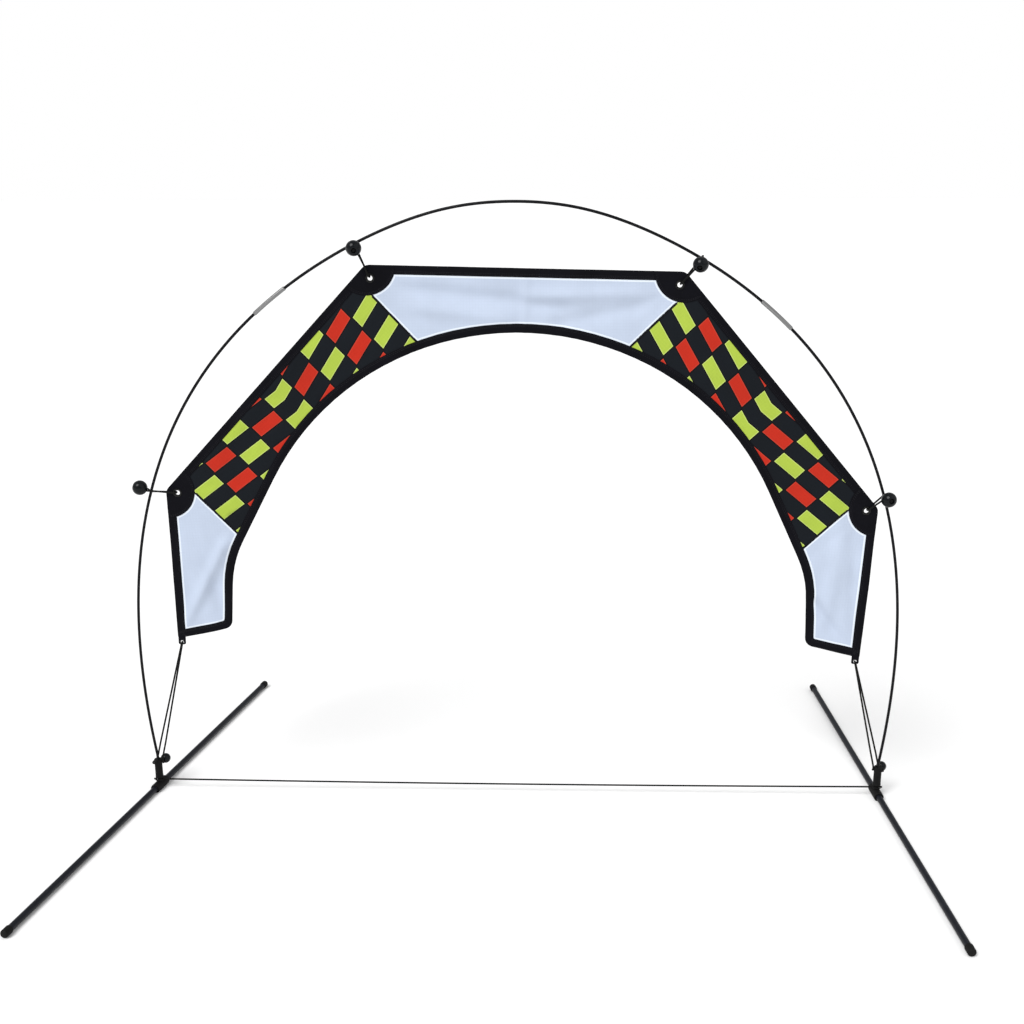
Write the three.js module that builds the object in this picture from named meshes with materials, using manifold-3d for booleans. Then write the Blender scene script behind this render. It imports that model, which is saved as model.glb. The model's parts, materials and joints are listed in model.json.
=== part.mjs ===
// Free-standing arch gate: a sprung hoop on two swivelling feet, with a fabric arch
// hung inside it on elastic loops with toggle balls. Millimetres, +Z up, +X to the right,
// -Y towards the person who faces the gate.
import * as THREE from 'three';
import { mergeVertices } from 'three/addons/utils/BufferGeometryUtils.js';
import Module from 'manifold-3d';

const wasm = await Module();
wasm.setup();

// ---------------------------------------------------------------- driving dimensions
const GAP = 0.35;                    // between solids that touch on the real object

const HOOP_HEIGHT = 1168;            // rod centreline at the crown
const FOOT_SPACING = 1462;           // between the two socket axes
const HOOP_LEAN = 7.5;               // degrees the bend leans out above its socket
const HOOP_SIDE_HANDLE = 950;        // control points of one half of the hoop's curve
const HOOP_SHOULDER = [248, 1050.5];
const HOOP_CROWN_HANDLE = 256;
const ROD_RADIUS = 2.75;
const CROWN_ROD_LENGTH = 1020;
const CROWN_ROD_SHIFT = 20;          // the crown rod sits this far round to the right
const FERRULE_RADIUS = 4;
const FERRULE_LENGTH = 75;

const TUBE_RADIUS = 6;
const TUBE_BORE = 4.6;
const TUBE_LENGTH = 1036;
const TUBE_HEIGHT = 7.5;             // tube axis above the ground
const CAP_RADIUS = 7.5;
const CAP_LENGTH = 18;
const CAP_OVERLAP = 12;              // length of tube inside a cap
const LEFT_SPLAY = 11.1;             // degrees each foot's front end is turned outwards
const RIGHT_SPLAY = 2;

const SLEEVE_RADIUS = 9.5;
const SLEEVE_LENGTH = 44;
const NECK_RADIUS = 5.2;
const SOCKET_RADIUS = 8;
const SOCKET_BOTTOM = 22.6;
const SOCKET_TOP = 65;
const ROD_SEAT = 25;                 // bottom of the rod inside its socket
const SOCKET_BORE = 3.4;

const CORD_RADIUS = 1.7;             // ground cord
const CORD_HEIGHT = 19.8;
const CORD_SAG = 3;
const KNOT_RADIUS = 3;

const SAIL_TILT = 1.3;               // degrees the fabric hangs off level, right side low
const SAIL_SHIFT = 11.5;
const SAIL_PIVOT = 650;              // height that the tilt turns about
const TOP_CORNER = [290, 1051];      // corners of the right half of the fabric, [x, z]
const SIDE_CORNER = [678.5, 618];
const LEG_CORNER = [672, 315];
const LEG_INNER_CORNER = [564, 339];
const KNEE = [556, 477];             // where the arch turns down into the leg
const KNEE_RADIUS = 220;
const ARCH_APEX = 1574;              // where the arch's two straight flanks would meet
const ARCH_RADIUS = 527;
const PANEL_THICKNESS = 1;
const HEM_THICKNESS = 2.4;
const HEM_WIDTH = 16;
const UPPER_SEAM = 720;              // each seam is the 45 degree line z = x + its value
const LOWER_SEAM = -10;
const PATCH_RADIUS = 55;

const EYELET_HOLE = 4.6;
const EYELET_BARREL = 5.6;
const EYELET_FLANGE = 8.5;
const EYELET_HALF_HEIGHT = 2.2;
const FLANGE_THICKNESS = 0.65;
const TOP_EYELET = [281, 1027.5];
const SIDE_EYELET = [656.5, 614];
const TAB_EYE = [664.5, 307];
const TAB_WIDTH = 14;
const TAB_HOLE = 3.2;
const TAB_END = 5;                   // tab below its hole

const ELASTIC_RADIUS = 1.8;
const STRAND_OFFSET = 2.0;           // half the spacing of the two strands in a ball
const BALL_RADIUS = 14.25;
const BASE_BALL_RADIUS = 10;
const BALL_BORE = 4.15;
const BALL_RECESS = 4.8;
const RECESS_DEPTH = 7;
const BALL_SEAT = 22;                // ball centre from the rod axis
const BASE_BALL_SEAT = 23;
const BASE_LOOP_HEIGHT = 56;         // the long elastics hook round the sockets here
// name, side, distance round the hoop from the crown, direction of the ball from the rod
// (0 outwards, 90 forwards), where the front strand leaves the rod, eyelet
const CORNER_BALLS = [
  ['left_top', -1, -301, 109, 140, TOP_EYELET],
  ['right_top', 1, 359, 117, 172, TOP_EYELET],
  ['left_side', -1, -935, 5, 100, SIDE_EYELET],
  ['right_side', 1, 942, 82, 100, SIDE_EYELET],
];
// name, side, direction of the ball from the socket
const BASE_BALLS = [['left_base', -1, -111.6], ['right_base', 1, -58.6]];
// Turns of an elastic through its hole: [towards the hoop, towards the front]
const EYELET_TURN = [
  [7.6, 4.5], [3.9, 4.3], [2.4, 1.9], [2.2, 0], [2.4, -1.9], [3.9, -4.3], [7.6, -4.5],
];
const TAB_TURN = [[8, 3.5], [3.6, 3.6], [1.0, 2.6], [0.1, 0], [1.0, -2.6], [3.6, -3.6], [8, -3.5]];

// ---------------------------------------------------------------- materials
function material(color, roughness, metalness = 0) {
  return new THREE.MeshStandardMaterial({ color, roughness, metalness });
}
const ROD_FINISH = [0x121318, 0.35];
const METAL_FINISH = [0xb9bec4, 0.35, 0.9];
const RUBBER_FINISH = [0x17171c, 0.75];
const TUBE_FINISH = [0x1d1f26, 0.45];
const BALL_FINISH = [0x0e0f14, 0.25];
const ELASTIC_FINISH = [0x14141a, 0.85];
const WHITE_FINISH = [0xd3deee, 0.8];
const CHECK_FINISH = [0x6d7a32, 0.8];
const BINDING_FINISH = [0x14151c, 0.85];
const EYELET_FINISH = [0x17181d, 0.4, 0.6];

// ---------------------------------------------------------------- small helpers
const radians = THREE.MathUtils.degToRad;
const point = (x, y, z) => new THREE.Vector3(x, y, z);
const UP = point(0, 0, 1);
const FRONT = point(0, -1, 0);
const SIDES = [['left', -1], ['right', 1]];

function node(parent, name, geometry, finish) {
  const mesh = new THREE.Mesh(geometry, material(...finish));
  mesh.name = name;
  parent.add(mesh);
  return mesh;
}

function solid(geometry) {
  const bare = new THREE.BufferGeometry();
  bare.setAttribute('position', geometry.getAttribute('position'));
  bare.setIndex(geometry.getIndex());
  const merged = mergeVertices(bare, 1e-4);
  return new wasm.Manifold(new wasm.Mesh({
    numProp: 3,
    vertProperties: new Float32Array(merged.getAttribute('position').array),
    triVerts: new Uint32Array(merged.getIndex().array),
  }));
}

function geometryOf(manifold) {
  const mesh = manifold.getMesh();
  const geometry = new THREE.BufferGeometry();
  geometry.setAttribute('position', new THREE.BufferAttribute(mesh.vertProperties, 3));
  geometry.setIndex(new THREE.BufferAttribute(mesh.triVerts, 1));
  geometry.computeVertexNormals();
  return geometry;
}

// A round section with a corner on its lowest point.
function ring(radius, sides, clockwise = false) {
  const corners = [];
  for (let i = 0; i < sides; i++) {
    const angle = (clockwise ? -1 : 1) * (i / sides) * 2 * Math.PI - Math.PI / 2;
    corners.push(new THREE.Vector2(radius * Math.cos(angle), radius * Math.sin(angle)));
  }
  return corners;
}

function sweep(curve, radius, steps, { sides = 8, bore = 0, boreSides = 12 } = {}) {
  const section = new THREE.Shape(ring(radius, sides));
  if (bore) section.holes.push(new THREE.Path(ring(bore, boreSides, true)));
  return new THREE.ExtrudeGeometry(section, { extrudePath: curve, steps, bevelEnabled: false });
}

function smooth(points) {
  return new THREE.CatmullRomCurve3(points, false, 'centripetal');
}

// A cylinder between two heights on the Z axis.
function post(radius, bottom, top, sides = 24) {
  const geometry = new THREE.CylinderGeometry(radius, radius, top - bottom, sides);
  geometry.rotateX(Math.PI / 2);
  geometry.translate(0, 0, (top + bottom) / 2);
  return geometry;
}

// A cylinder centred on the origin, lying along Y at a height.
function log(radius, length, height, sides = 24) {
  const geometry = new THREE.CylinderGeometry(radius, radius, length, sides);
  geometry.translate(0, 0, height);
  return geometry;
}

// ---------------------------------------------------------------- hoop
const baseX = FOOT_SPACING / 2;
const bendStart = SOCKET_TOP + 8;
const lean = radians(HOOP_LEAN);
const hoopControls = [
  point(0, 0, HOOP_HEIGHT),
  point(HOOP_CROWN_HANDLE, 0, HOOP_HEIGHT),
  point(HOOP_SHOULDER[0], 0, HOOP_SHOULDER[1]),
  point(baseX + HOOP_SIDE_HANDLE * Math.sin(lean), 0,
    bendStart + HOOP_SIDE_HANDLE * Math.cos(lean)),
  point(baseX, 0, bendStart),
];

// Half of the hoop: a Bezier curve on its control points.
class HalfHoop extends THREE.Curve {
  getPoint(t) {
    let points = hoopControls;
    while (points.length > 1) {
      points = points.slice(1).map((next, i) => points[i].clone().lerp(next, t));
    }
    return points[0];
  }
}
const halfHoop = new HalfHoop();
halfHoop.arcLengthDivisions = 800;
const halfLength = halfHoop.getLength();

// The point of the hoop's centreline at a distance from the crown, negative to the left.
function hoopPoint(distance) {
  const side = Math.sign(distance) || 1;
  const along = Math.abs(distance);
  const spot = along <= halfLength
    ? halfHoop.getPointAt(along / halfLength)
    : point(baseX, 0, bendStart - (along - halfLength));
  spot.x *= side;
  return spot;
}

function hoopCurve(from, to, step = 30) {
  const count = Math.max(2, Math.ceil(Math.abs(to - from) / step));
  const points = [];
  for (let i = 0; i <= count; i++) points.push(hoopPoint(from + ((to - from) * i) / count));
  return smooth(points);
}

// The side rods run straight in their sockets, so those stretches are pinned down closely.
function sideRodCurve(side, joint) {
  const points = [];
  const curved = halfLength - Math.abs(joint);
  const count = Math.ceil(curved / 30);
  for (let i = 0; i <= count; i++) {
    points.push(hoopPoint(joint + side * (curved * i) / count));
  }
  const hidden = bendStart - ROD_SEAT;
  for (const extra of [8, 20, 34, hidden]) points.push(hoopPoint(side * (halfLength + extra)));
  return smooth(points);
}

function buildHoop(gate) {
  const leftJoint = CROWN_ROD_SHIFT - CROWN_ROD_LENGTH / 2;
  const rightJoint = CROWN_ROD_SHIFT + CROWN_ROD_LENGTH / 2;
  const half = GAP / 2;
  node(gate, 'crown_rod',
    sweep(hoopCurve(leftJoint + half, rightJoint - half), ROD_RADIUS, 40), ROD_FINISH);
  node(gate, 'left_rod', sweep(sideRodCurve(-1, leftJoint - half), ROD_RADIUS, 60), ROD_FINISH);
  node(gate, 'right_rod', sweep(sideRodCurve(1, rightJoint + half), ROD_RADIUS, 60), ROD_FINISH);
  for (const [name, joint] of [['left', leftJoint], ['right', rightJoint]]) {
    const curve = hoopCurve(joint - FERRULE_LENGTH / 2, joint + FERRULE_LENGTH / 2, 12);
    const sleeve = sweep(curve, FERRULE_RADIUS, 6, { sides: 12, bore: ROD_RADIUS + 0.5 });
    node(gate, `${name}_ferrule`, sleeve, METAL_FINISH);
  }
}

// ---------------------------------------------------------------- feet
function footConnector() {
  const sleeve = solid(log(SLEEVE_RADIUS, SLEEVE_LENGTH, TUBE_HEIGHT));
  const neck = solid(post(NECK_RADIUS, TUBE_HEIGHT + TUBE_RADIUS, SOCKET_BOTTOM + 1));
  const socket = solid(post(SOCKET_RADIUS, SOCKET_BOTTOM, SOCKET_TOP));
  const tubeBore = solid(log(TUBE_RADIUS + 0.4, SLEEVE_LENGTH + 2, TUBE_HEIGHT));
  const rodBore = solid(post(SOCKET_BORE, ROD_SEAT - GAP, SOCKET_TOP + 1));
  const ground = new THREE.BoxGeometry(60, 60, 20);
  ground.translate(0, 0, -10);
  return geometryOf(
    sleeve.add(neck).add(socket).subtract(tubeBore).subtract(rodBore).subtract(solid(ground)));
}

function footTube() {
  const bottom = -TUBE_LENGTH / 2;
  const profile = [
    [TUBE_BORE, bottom], [TUBE_RADIUS, bottom], [TUBE_RADIUS, -bottom], [TUBE_BORE, -bottom],
    [TUBE_BORE, bottom],
  ].map(([r, y]) => new THREE.Vector2(r, y));
  return new THREE.LatheGeometry(profile, 16).translate(0, 0, TUBE_HEIGHT);
}

// A cup with a domed end, its mouth at the origin and its dome towards +Y.
function endCap() {
  const inner = TUBE_RADIUS + GAP;
  const straight = CAP_LENGTH - CAP_RADIUS * 0.6;
  const profile = [
    new THREE.Vector2(0, CAP_OVERLAP + GAP),
    new THREE.Vector2(inner, CAP_OVERLAP + GAP),
    new THREE.Vector2(inner, 0),
    new THREE.Vector2(CAP_RADIUS, 0),
  ];
  for (let i = 0; i < 6; i++) {
    const angle = (i / 6) * (Math.PI / 2);
    profile.push(new THREE.Vector2(
      CAP_RADIUS * Math.cos(angle), straight + (CAP_LENGTH - straight) * Math.sin(angle)));
  }
  profile.push(new THREE.Vector2(0, CAP_LENGTH));
  return new THREE.LatheGeometry(profile, 16);
}

function buildFoot(gate, name, side, splay) {
  const foot = new THREE.Group();
  foot.position.x = side * baseX;
  foot.rotation.z = side * radians(splay);
  gate.add(foot);
  node(foot, `${name}_foot_connector`, footConnector(), RUBBER_FINISH);
  node(foot, `${name}_foot_tube`, footTube(), TUBE_FINISH);
  for (const [end, direction] of [['rear', 1], ['front', -1]]) {
    const cap = node(foot, `${name}_${end}_cap`, endCap(), RUBBER_FINISH);
    cap.position.set(0, direction * (TUBE_LENGTH / 2 - CAP_OVERLAP), TUBE_HEIGHT);
    if (direction < 0) cap.rotation.z = Math.PI;
  }
}

// ---------------------------------------------------------------- ground cord
const loopRadius = NECK_RADIUS + GAP + CORD_RADIUS;

function buildGroundCord(gate) {
  const reach = baseX - loopRadius - CORD_RADIUS - GAP;
  const points = [];
  for (let i = 0; i <= 12; i++) {
    const t = (i / 12) * 2 - 1;
    points.push(point(reach * t, 0, CORD_HEIGHT - CORD_SAG * (1 - t * t)));
  }
  node(gate, 'ground_cord', sweep(smooth(points), CORD_RADIUS, 24), ELASTIC_FINISH);
  for (const [name, side] of SIDES) {
    const band = new THREE.TorusGeometry(loopRadius, CORD_RADIUS, 8, 20);
    const knot = new THREE.SphereGeometry(KNOT_RADIUS, 10, 8);
    knot.scale(0.8, 1, 0.7);
    knot.translate(side * (loopRadius + 2.4), 0, 0);
    const loop = node(gate, `${name}_cord_loop`, geometryOf(solid(band).add(solid(knot))),
      ELASTIC_FINISH);
    loop.position.set(side * baseX, 0, CORD_HEIGHT);
  }
}

// ---------------------------------------------------------------- fabric
// A closed outline through the given corners, each [x, z, radius] rounded to its radius.
function roundedOutline(corners) {
  const points = [];
  corners.forEach(([x, z, radius], i) => {
    const corner = new THREE.Vector2(x, z);
    const [before, after] = [-1, 1].map((step) => {
      const [nx, nz] = corners[(i + step + corners.length) % corners.length];
      return new THREE.Vector2(nx, nz).sub(corner).normalize();
    });
    const half = Math.acos(before.dot(after)) / 2;
    const centre = before.clone().add(after).normalize().multiplyScalar(radius / Math.sin(half));
    const from = before.multiplyScalar(radius / Math.tan(half)).sub(centre);
    const to = after.multiplyScalar(radius / Math.tan(half)).sub(centre);
    const sweepAngle = Math.atan2(from.cross(to), from.dot(to));
    const count = Math.max(3, Math.ceil(Math.abs(sweepAngle) * Math.sqrt(radius) * 0.8));
    for (let k = 0; k <= count; k++) {
      const spoke = from.clone().rotateAround(new THREE.Vector2(), (sweepAngle * k) / count);
      points.push(corner.clone().add(centre).add(spoke).toArray());
    }
  });
  return points;
}

const area = (points) => new wasm.CrossSection([points], 'NonZero');

function disc([x, z], radius, sides = 32) {
  return wasm.CrossSection.circle(radius, sides).translate([x, z]);
}

// A strip of the gap's width along a line, to part two pieces of fabric.
function slot([x1, z1], [x2, z2]) {
  const length = Math.hypot(x2 - x1, z2 - z1);
  const nx = ((z1 - z2) / length) * (GAP / 2);
  const nz = ((x2 - x1) / length) * (GAP / 2);
  return area([[x1 - nx, z1 - nz], [x2 - nx, z2 - nz], [x2 + nx, z2 + nz], [x1 + nx, z1 + nz]]);
}

const mirrored = ([x, z]) => [-x, z];
const together = (areas) => wasm.CrossSection.union(areas);
const bothSides = (make) => together([make((spot) => spot), make(mirrored)]);

// An area of the XZ plane made into a plate centred on y = 0.
function plate(shape, thickness) {
  return geometryOf(shape.extrude(thickness).rotate([90, 0, 0]).translate([0, thickness / 2, 0]));
}

function eyelet([x, z]) {
  const inner = EYELET_HALF_HEIGHT - FLANGE_THICKNESS;
  const profile = [
    [EYELET_HOLE, -EYELET_HALF_HEIGHT], [EYELET_FLANGE, -EYELET_HALF_HEIGHT],
    [EYELET_FLANGE, -inner], [EYELET_BARREL, -inner],
    [EYELET_BARREL, inner], [EYELET_FLANGE, inner],
    [EYELET_FLANGE, EYELET_HALF_HEIGHT], [EYELET_HOLE, EYELET_HALF_HEIGHT],
    [EYELET_HOLE, -EYELET_HALF_HEIGHT],
  ].map(([r, y]) => new THREE.Vector2(r, y));
  return new THREE.LatheGeometry(profile, 20).translate(x, 0, z);
}

function buildSail(gate) {
  const sail = new THREE.Group();
  sail.position.set(SAIL_SHIFT, 0, SAIL_PIVOT);
  sail.rotation.y = radians(SAIL_TILT);
  gate.add(sail);
  const hang = (name, geometry, finish) => {
    node(sail, name, geometry.translate(0, 0, -SAIL_PIVOT), finish);
  };
  const halfOutline = [
    [...KNEE, KNEE_RADIUS], [...LEG_INNER_CORNER, 20], [...LEG_CORNER, 3],
    [...SIDE_CORNER, 18], [...TOP_CORNER, 18],
  ];
  const outline = area(roundedOutline([
    [0, ARCH_APEX, ARCH_RADIUS],
    ...halfOutline,
    ...halfOutline.map(([x, z, radius]) => [-x, z, radius]).reverse(),
  ]));
  const patches = bothSides((at) => together(
    [TOP_CORNER, SIDE_CORNER].map((corner) => disc(at(corner), PATCH_RADIUS, 48))));
  const clearance = bothSides((at) => together(
    [TOP_CORNER, SIDE_CORNER].map((corner) => disc(at(corner), PATCH_RADIUS + GAP, 48))));

  // The named piece of a cut-up area is the one that covers a given spot.
  const pick = (pieces, spot) => pieces.find((piece) => !piece.intersect(disc(spot, 1)).isEmpty());

  const seams = bothSides((at) => together([UPPER_SEAM, LOWER_SEAM].map(
    (rise) => slot(at([50, 50 + rise]), at([800, 800 + rise])))));
  const panels = outline.offset(-HEM_WIDTH - GAP, 'Miter', 4, 0)
    .subtract(clearance).subtract(seams).decompose();
  const mitres = bothSides((at) => together([
    slot(at([LEG_CORNER[0] + 15, LEG_CORNER[1] - 18]), at([LEG_CORNER[0] - 25, LEG_CORNER[1] + 30])),
    slot(at([LEG_INNER_CORNER[0] - 12, LEG_INNER_CORNER[1] - 18]),
      at([LEG_INNER_CORNER[0] + 20, LEG_INNER_CORNER[1] + 30])),
  ]));
  const bindings = outline.subtract(outline.offset(-HEM_WIDTH, 'Miter', 4, 0))
    .subtract(clearance).subtract(mitres).decompose();

  const between = (a, b, inset) => [(a[0] + b[0]) / 2 - inset, (a[1] + b[1]) / 2];
  hang('centre_panel', plate(pick(panels, [0, 990]), PANEL_THICKNESS), WHITE_FINISH);
  hang('top_binding', plate(pick(bindings, [0, TOP_CORNER[1] - 5]), HEM_THICKNESS),
    BINDING_FINISH);
  hang('arch_binding', plate(pick(bindings, [0, 945]), HEM_THICKNESS), BINDING_FINISH);
  for (const [name, side] of SIDES) {
    const at = ([x, z]) => [side * x, z];
    const panel = (part, spot, finish) =>
      hang(`${name}_${part}_panel`, plate(pick(panels, at(spot)), PANEL_THICKNESS), finish);
    panel('check', [500, 700], CHECK_FINISH);
    panel('leg', [615, 450], WHITE_FINISH);
    const binding = (part, spot) => hang(`${name}_${part}_binding`,
      plate(pick(bindings, at(spot)), HEM_THICKNESS), BINDING_FINISH);
    binding('side', between(TOP_CORNER, SIDE_CORNER, 6));
    binding('leg', between(SIDE_CORNER, LEG_CORNER, 6));
    binding('foot', [615, 339]);
    for (const [part, corner, hole] of [['top', TOP_CORNER, TOP_EYELET],
      ['side', SIDE_CORNER, SIDE_EYELET]]) {
      const shape = patches.intersect(outline).intersect(disc(at(corner), PATCH_RADIUS + 5))
        .subtract(disc(at(hole), EYELET_BARREL + GAP));
      hang(`${name}_${part}_patch`, plate(shape, HEM_THICKNESS), BINDING_FINISH);
      hang(`${name}_${part}_eyelet`, eyelet(at(hole)), EYELET_FINISH);
    }
    const [tabX, tabZ] = TAB_EYE;
    const strip = roundedOutline([
      [tabX - TAB_WIDTH / 2, tabZ + 30, 1], [tabX + TAB_WIDTH / 2, tabZ + 30, 1],
      [tabX + TAB_WIDTH / 2, tabZ - TAB_END, 3], [tabX - TAB_WIDTH / 2, tabZ - TAB_END, 3],
    ]).map(at);
    const tab = area(side > 0 ? strip.reverse() : strip)
      .subtract(outline.offset(GAP, 'Miter', 2, 0)).subtract(disc(at(TAB_EYE), TAB_HOLE, 16));
    hang(`${name}_tab`, plate(tab, HEM_THICKNESS), BINDING_FINISH);
  }
  sail.updateWorldMatrix(true, false);
  return ([x, z]) => sail.localToWorld(point(x, 0, z - SAIL_PIVOT));
}

// ---------------------------------------------------------------- elastics and balls
// A cord whose steps follow its own points, so that its bends get the short steps.
function cord(points, stepsPerPoint = 2) {
  const curve = smooth(points);
  curve.getPointAt = curve.getPoint;
  curve.getTangentAt = curve.getTangent;
  curve.getSpacedPoints = curve.getPoints;
  return sweep(curve, ELASTIC_RADIUS, (points.length - 1) * stepsPerPoint);
}

// A spot beside a post: out from its axis at an angle (0 faces away from the gate's middle,
// 90 faces the front) and some way along it.
function besidePost(post, radius, angle, along) {
  const turn = radians(angle);
  return post.centre.clone()
    .addScaledVector(post.outward, radius * Math.cos(turn))
    .addScaledVector(FRONT, radius * Math.sin(turn))
    .addScaledVector(post.axis, along);
}

// One strand: down the ball's bore, a tight bend, round the post, and off it at an angle.
function strand(post, ball, along, leaveAngle, lift = 0) {
  const wrap = post.radius + GAP + ELASTIC_RADIUS;
  const bend = 2.6;
  const direction = Math.sign(leaveAngle - ball.angle);
  const seat = ball.seat + ball.radius - ball.recess;
  const points = [seat, (seat + wrap + bend) / 2, wrap + bend]
    .map((radius) => besidePost(post, radius, ball.angle, along));
  const bendTurn = THREE.MathUtils.radToDeg(bend / wrap);
  points.push(besidePost(post, wrap + bend * 0.29, ball.angle + direction * bendTurn * 0.29, along));
  const start = ball.angle + direction * bendTurn;
  const left = (leaveAngle - start) * direction;
  const count = left > 0 ? Math.ceil(left / 30) : 0;
  for (let i = 0; i <= count; i++) {
    const angle = count ? start + ((leaveAngle - start) * i) / count : start;
    const rise = lift * Math.max(0, (i - count + 2) / 2) ** 2;
    points.push(besidePost(post, wrap, angle, along + rise));
  }
  return points;
}

// The turn through a hole, from the front of the fabric to the back.
function holeTurn(hole, towards, profile) {
  const inward = towards.clone().sub(hole).setY(0).normalize();
  return profile.map(([reach, front]) =>
    hole.clone().addScaledVector(inward, reach).addScaledVector(FRONT, front));
}

function elasticLoop(post, ball, hole, profile, leave, lift, runPoints) {
  const front = strand(post, ball, STRAND_OFFSET, leave.front, lift);
  const back = strand(post, ball, -STRAND_OFFSET, leave.back, lift);
  const turn = holeTurn(hole, post.centre, profile);
  const run = (from, to) => {
    const points = [];
    for (let i = 1; i < runPoints; i++) points.push(from.clone().lerp(to, i / runPoints));
    return points;
  };
  const points = [
    ...front,
    ...run(front[front.length - 1], turn[0]),
    ...turn,
    ...run(turn[turn.length - 1], back[back.length - 1]),
    ...back.reverse(),
  ];
  return cord(points);
}

function toggleBall(ball) {
  const body = solid(new THREE.SphereGeometry(ball.radius, 20, 14).rotateX(Math.PI / 2));
  const bore = solid(post(BALL_BORE, -ball.radius - 1, ball.radius + 1, 12));
  const recess = solid(post(BALL_RECESS, ball.radius - ball.recess, ball.radius + 1, 12));
  return geometryOf(body.subtract(bore).subtract(recess));
}

function fitBall(gate, name, post, ball) {
  const centre = besidePost(post, ball.seat, ball.angle, 0);
  const unit = new THREE.Group();
  unit.position.copy(centre);
  unit.quaternion.setFromUnitVectors(UP, centre.clone().sub(post.centre).normalize());
  gate.add(unit);
  node(unit, `${name}_ball`, toggleBall(ball), BALL_FINISH);
  const knot = new THREE.SphereGeometry(KNOT_RADIUS, 10, 8);
  knot.translate(0, 0, ball.radius - ball.recess + GAP + KNOT_RADIUS);
  node(unit, `${name}_knot`, knot, ELASTIC_FINISH);
}

function buildElastics(gate, onSail) {
  for (const [name, side, distance, angle, leaveFront, hole] of CORNER_BALLS) {
    const centre = hoopPoint(distance);
    const axis = hoopPoint(distance + 1).sub(hoopPoint(distance - 1)).normalize();
    const outward = FRONT.clone().cross(axis).normalize();
    const rod = { centre, axis, outward, radius: ROD_RADIUS };
    const ball = {
      angle, seat: BALL_SEAT, radius: BALL_RADIUS, recess: RECESS_DEPTH,
    };
    const eye = onSail([side * hole[0], hole[1]]);
    node(gate, `${name}_elastic`,
      elasticLoop(rod, ball, eye, EYELET_TURN, { front: leaveFront, back: -95 }, 0, 3),
      ELASTIC_FINISH);
    fitBall(gate, name, rod, ball);
  }
  for (const [name, side, angle] of BASE_BALLS) {
    const socket = {
      centre: point(side * baseX, 0, BASE_LOOP_HEIGHT),
      axis: UP,
      outward: point(side, 0, 0),
      radius: SOCKET_RADIUS,
    };
    const ball = {
      angle, seat: BASE_BALL_SEAT, radius: BASE_BALL_RADIUS, recess: RECESS_DEPTH - 1,
    };
    const eye = onSail([side * TAB_EYE[0], TAB_EYE[1]]);
    node(gate, `${name}_elastic`,
      elasticLoop(socket, ball, eye, TAB_TURN, { front: 95, back: -190 }, 9, 6),
      ELASTIC_FINISH);
    fitBall(gate, name, socket, ball);
  }
}

const gate = new THREE.Group();
buildHoop(gate);
buildFoot(gate, 'left', -1, LEFT_SPLAY);
buildFoot(gate, 'right', 1, RIGHT_SPLAY);
buildGroundCord(gate);
const onSail = buildSail(gate);
buildElastics(gate, onSail);

// The origin is the middle of the object's box, on the ground.
const bounds = new THREE.Box3().setFromObject(gate, true);
gate.position.x = -(bounds.min.x + bounds.max.x) / 2;
gate.position.y = -(bounds.min.y + bounds.max.y) / 2;

export default gate;
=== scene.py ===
"""Looks of the free-standing arch gate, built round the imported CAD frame.

Lengths are in millimetres in the constants and in metres once they reach a mesh.
X runs along the gate's width, -Y is the front and Z is up.
"""

import json
import math

import bmesh
import bpy
import numpy as np
from mathutils import Matrix, Vector, noise
from mathutils.geometry import delaunay_2d_cdt


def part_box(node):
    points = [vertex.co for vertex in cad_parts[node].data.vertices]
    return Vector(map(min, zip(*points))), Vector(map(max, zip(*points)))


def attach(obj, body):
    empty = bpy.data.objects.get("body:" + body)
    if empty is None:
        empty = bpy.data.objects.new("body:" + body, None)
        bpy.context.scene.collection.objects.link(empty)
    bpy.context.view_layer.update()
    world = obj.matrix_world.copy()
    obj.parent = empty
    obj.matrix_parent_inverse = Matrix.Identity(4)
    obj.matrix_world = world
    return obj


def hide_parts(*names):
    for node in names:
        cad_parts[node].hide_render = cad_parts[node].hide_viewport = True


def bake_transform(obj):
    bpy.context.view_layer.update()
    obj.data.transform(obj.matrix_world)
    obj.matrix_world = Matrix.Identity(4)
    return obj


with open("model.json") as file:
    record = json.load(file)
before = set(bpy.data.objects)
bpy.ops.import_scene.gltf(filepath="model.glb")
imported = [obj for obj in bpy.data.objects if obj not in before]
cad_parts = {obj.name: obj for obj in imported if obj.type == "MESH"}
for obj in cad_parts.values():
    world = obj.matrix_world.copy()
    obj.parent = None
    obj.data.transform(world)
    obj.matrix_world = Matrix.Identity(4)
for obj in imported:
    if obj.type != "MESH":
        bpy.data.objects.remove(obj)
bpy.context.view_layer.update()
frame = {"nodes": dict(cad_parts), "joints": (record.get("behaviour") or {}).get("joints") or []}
JOINTS = {joint["name"]: joint for joint in frame["joints"]}
MM = 0.001
SHARP_ANGLE = math.radians(40)

# ------------------------------------------------------------------ shared dimensions, mm
FOOT_SPACING = 1462
HOOP_HEIGHT = 1168
HOOP_LEAN = math.radians(7.5)
HOOP_SIDE_HANDLE = 950
HOOP_SHOULDER = (248, 1050.5)
HOOP_CROWN_HANDLE = 256
ROD_RADIUS = 2.75
ROD_SEAT = 25
CROWN_ROD_LENGTH = 1020
CROWN_ROD_SHIFT = 20
FERRULE_RADIUS = 4
FERRULE_LENGTH = 75
SOCKET_TOP = 65
SOCKET_RADIUS = 8
SOCKET_BORE = 3.4
NECK_RADIUS = 5.2
SLEEVE_RADIUS = 9.5
SLEEVE_LENGTH = 44
TUBE_RADIUS = 6
TUBE_BORE = 4.6
TUBE_LENGTH = 1036
TUBE_HEIGHT = 7.5
CAP_RADIUS = 7.5
CAP_LENGTH = 18
CAP_OVERLAP = 12
SPLAY = {"left": math.radians(11.1), "right": math.radians(2)}
CORD_RADIUS = 1.7
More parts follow.
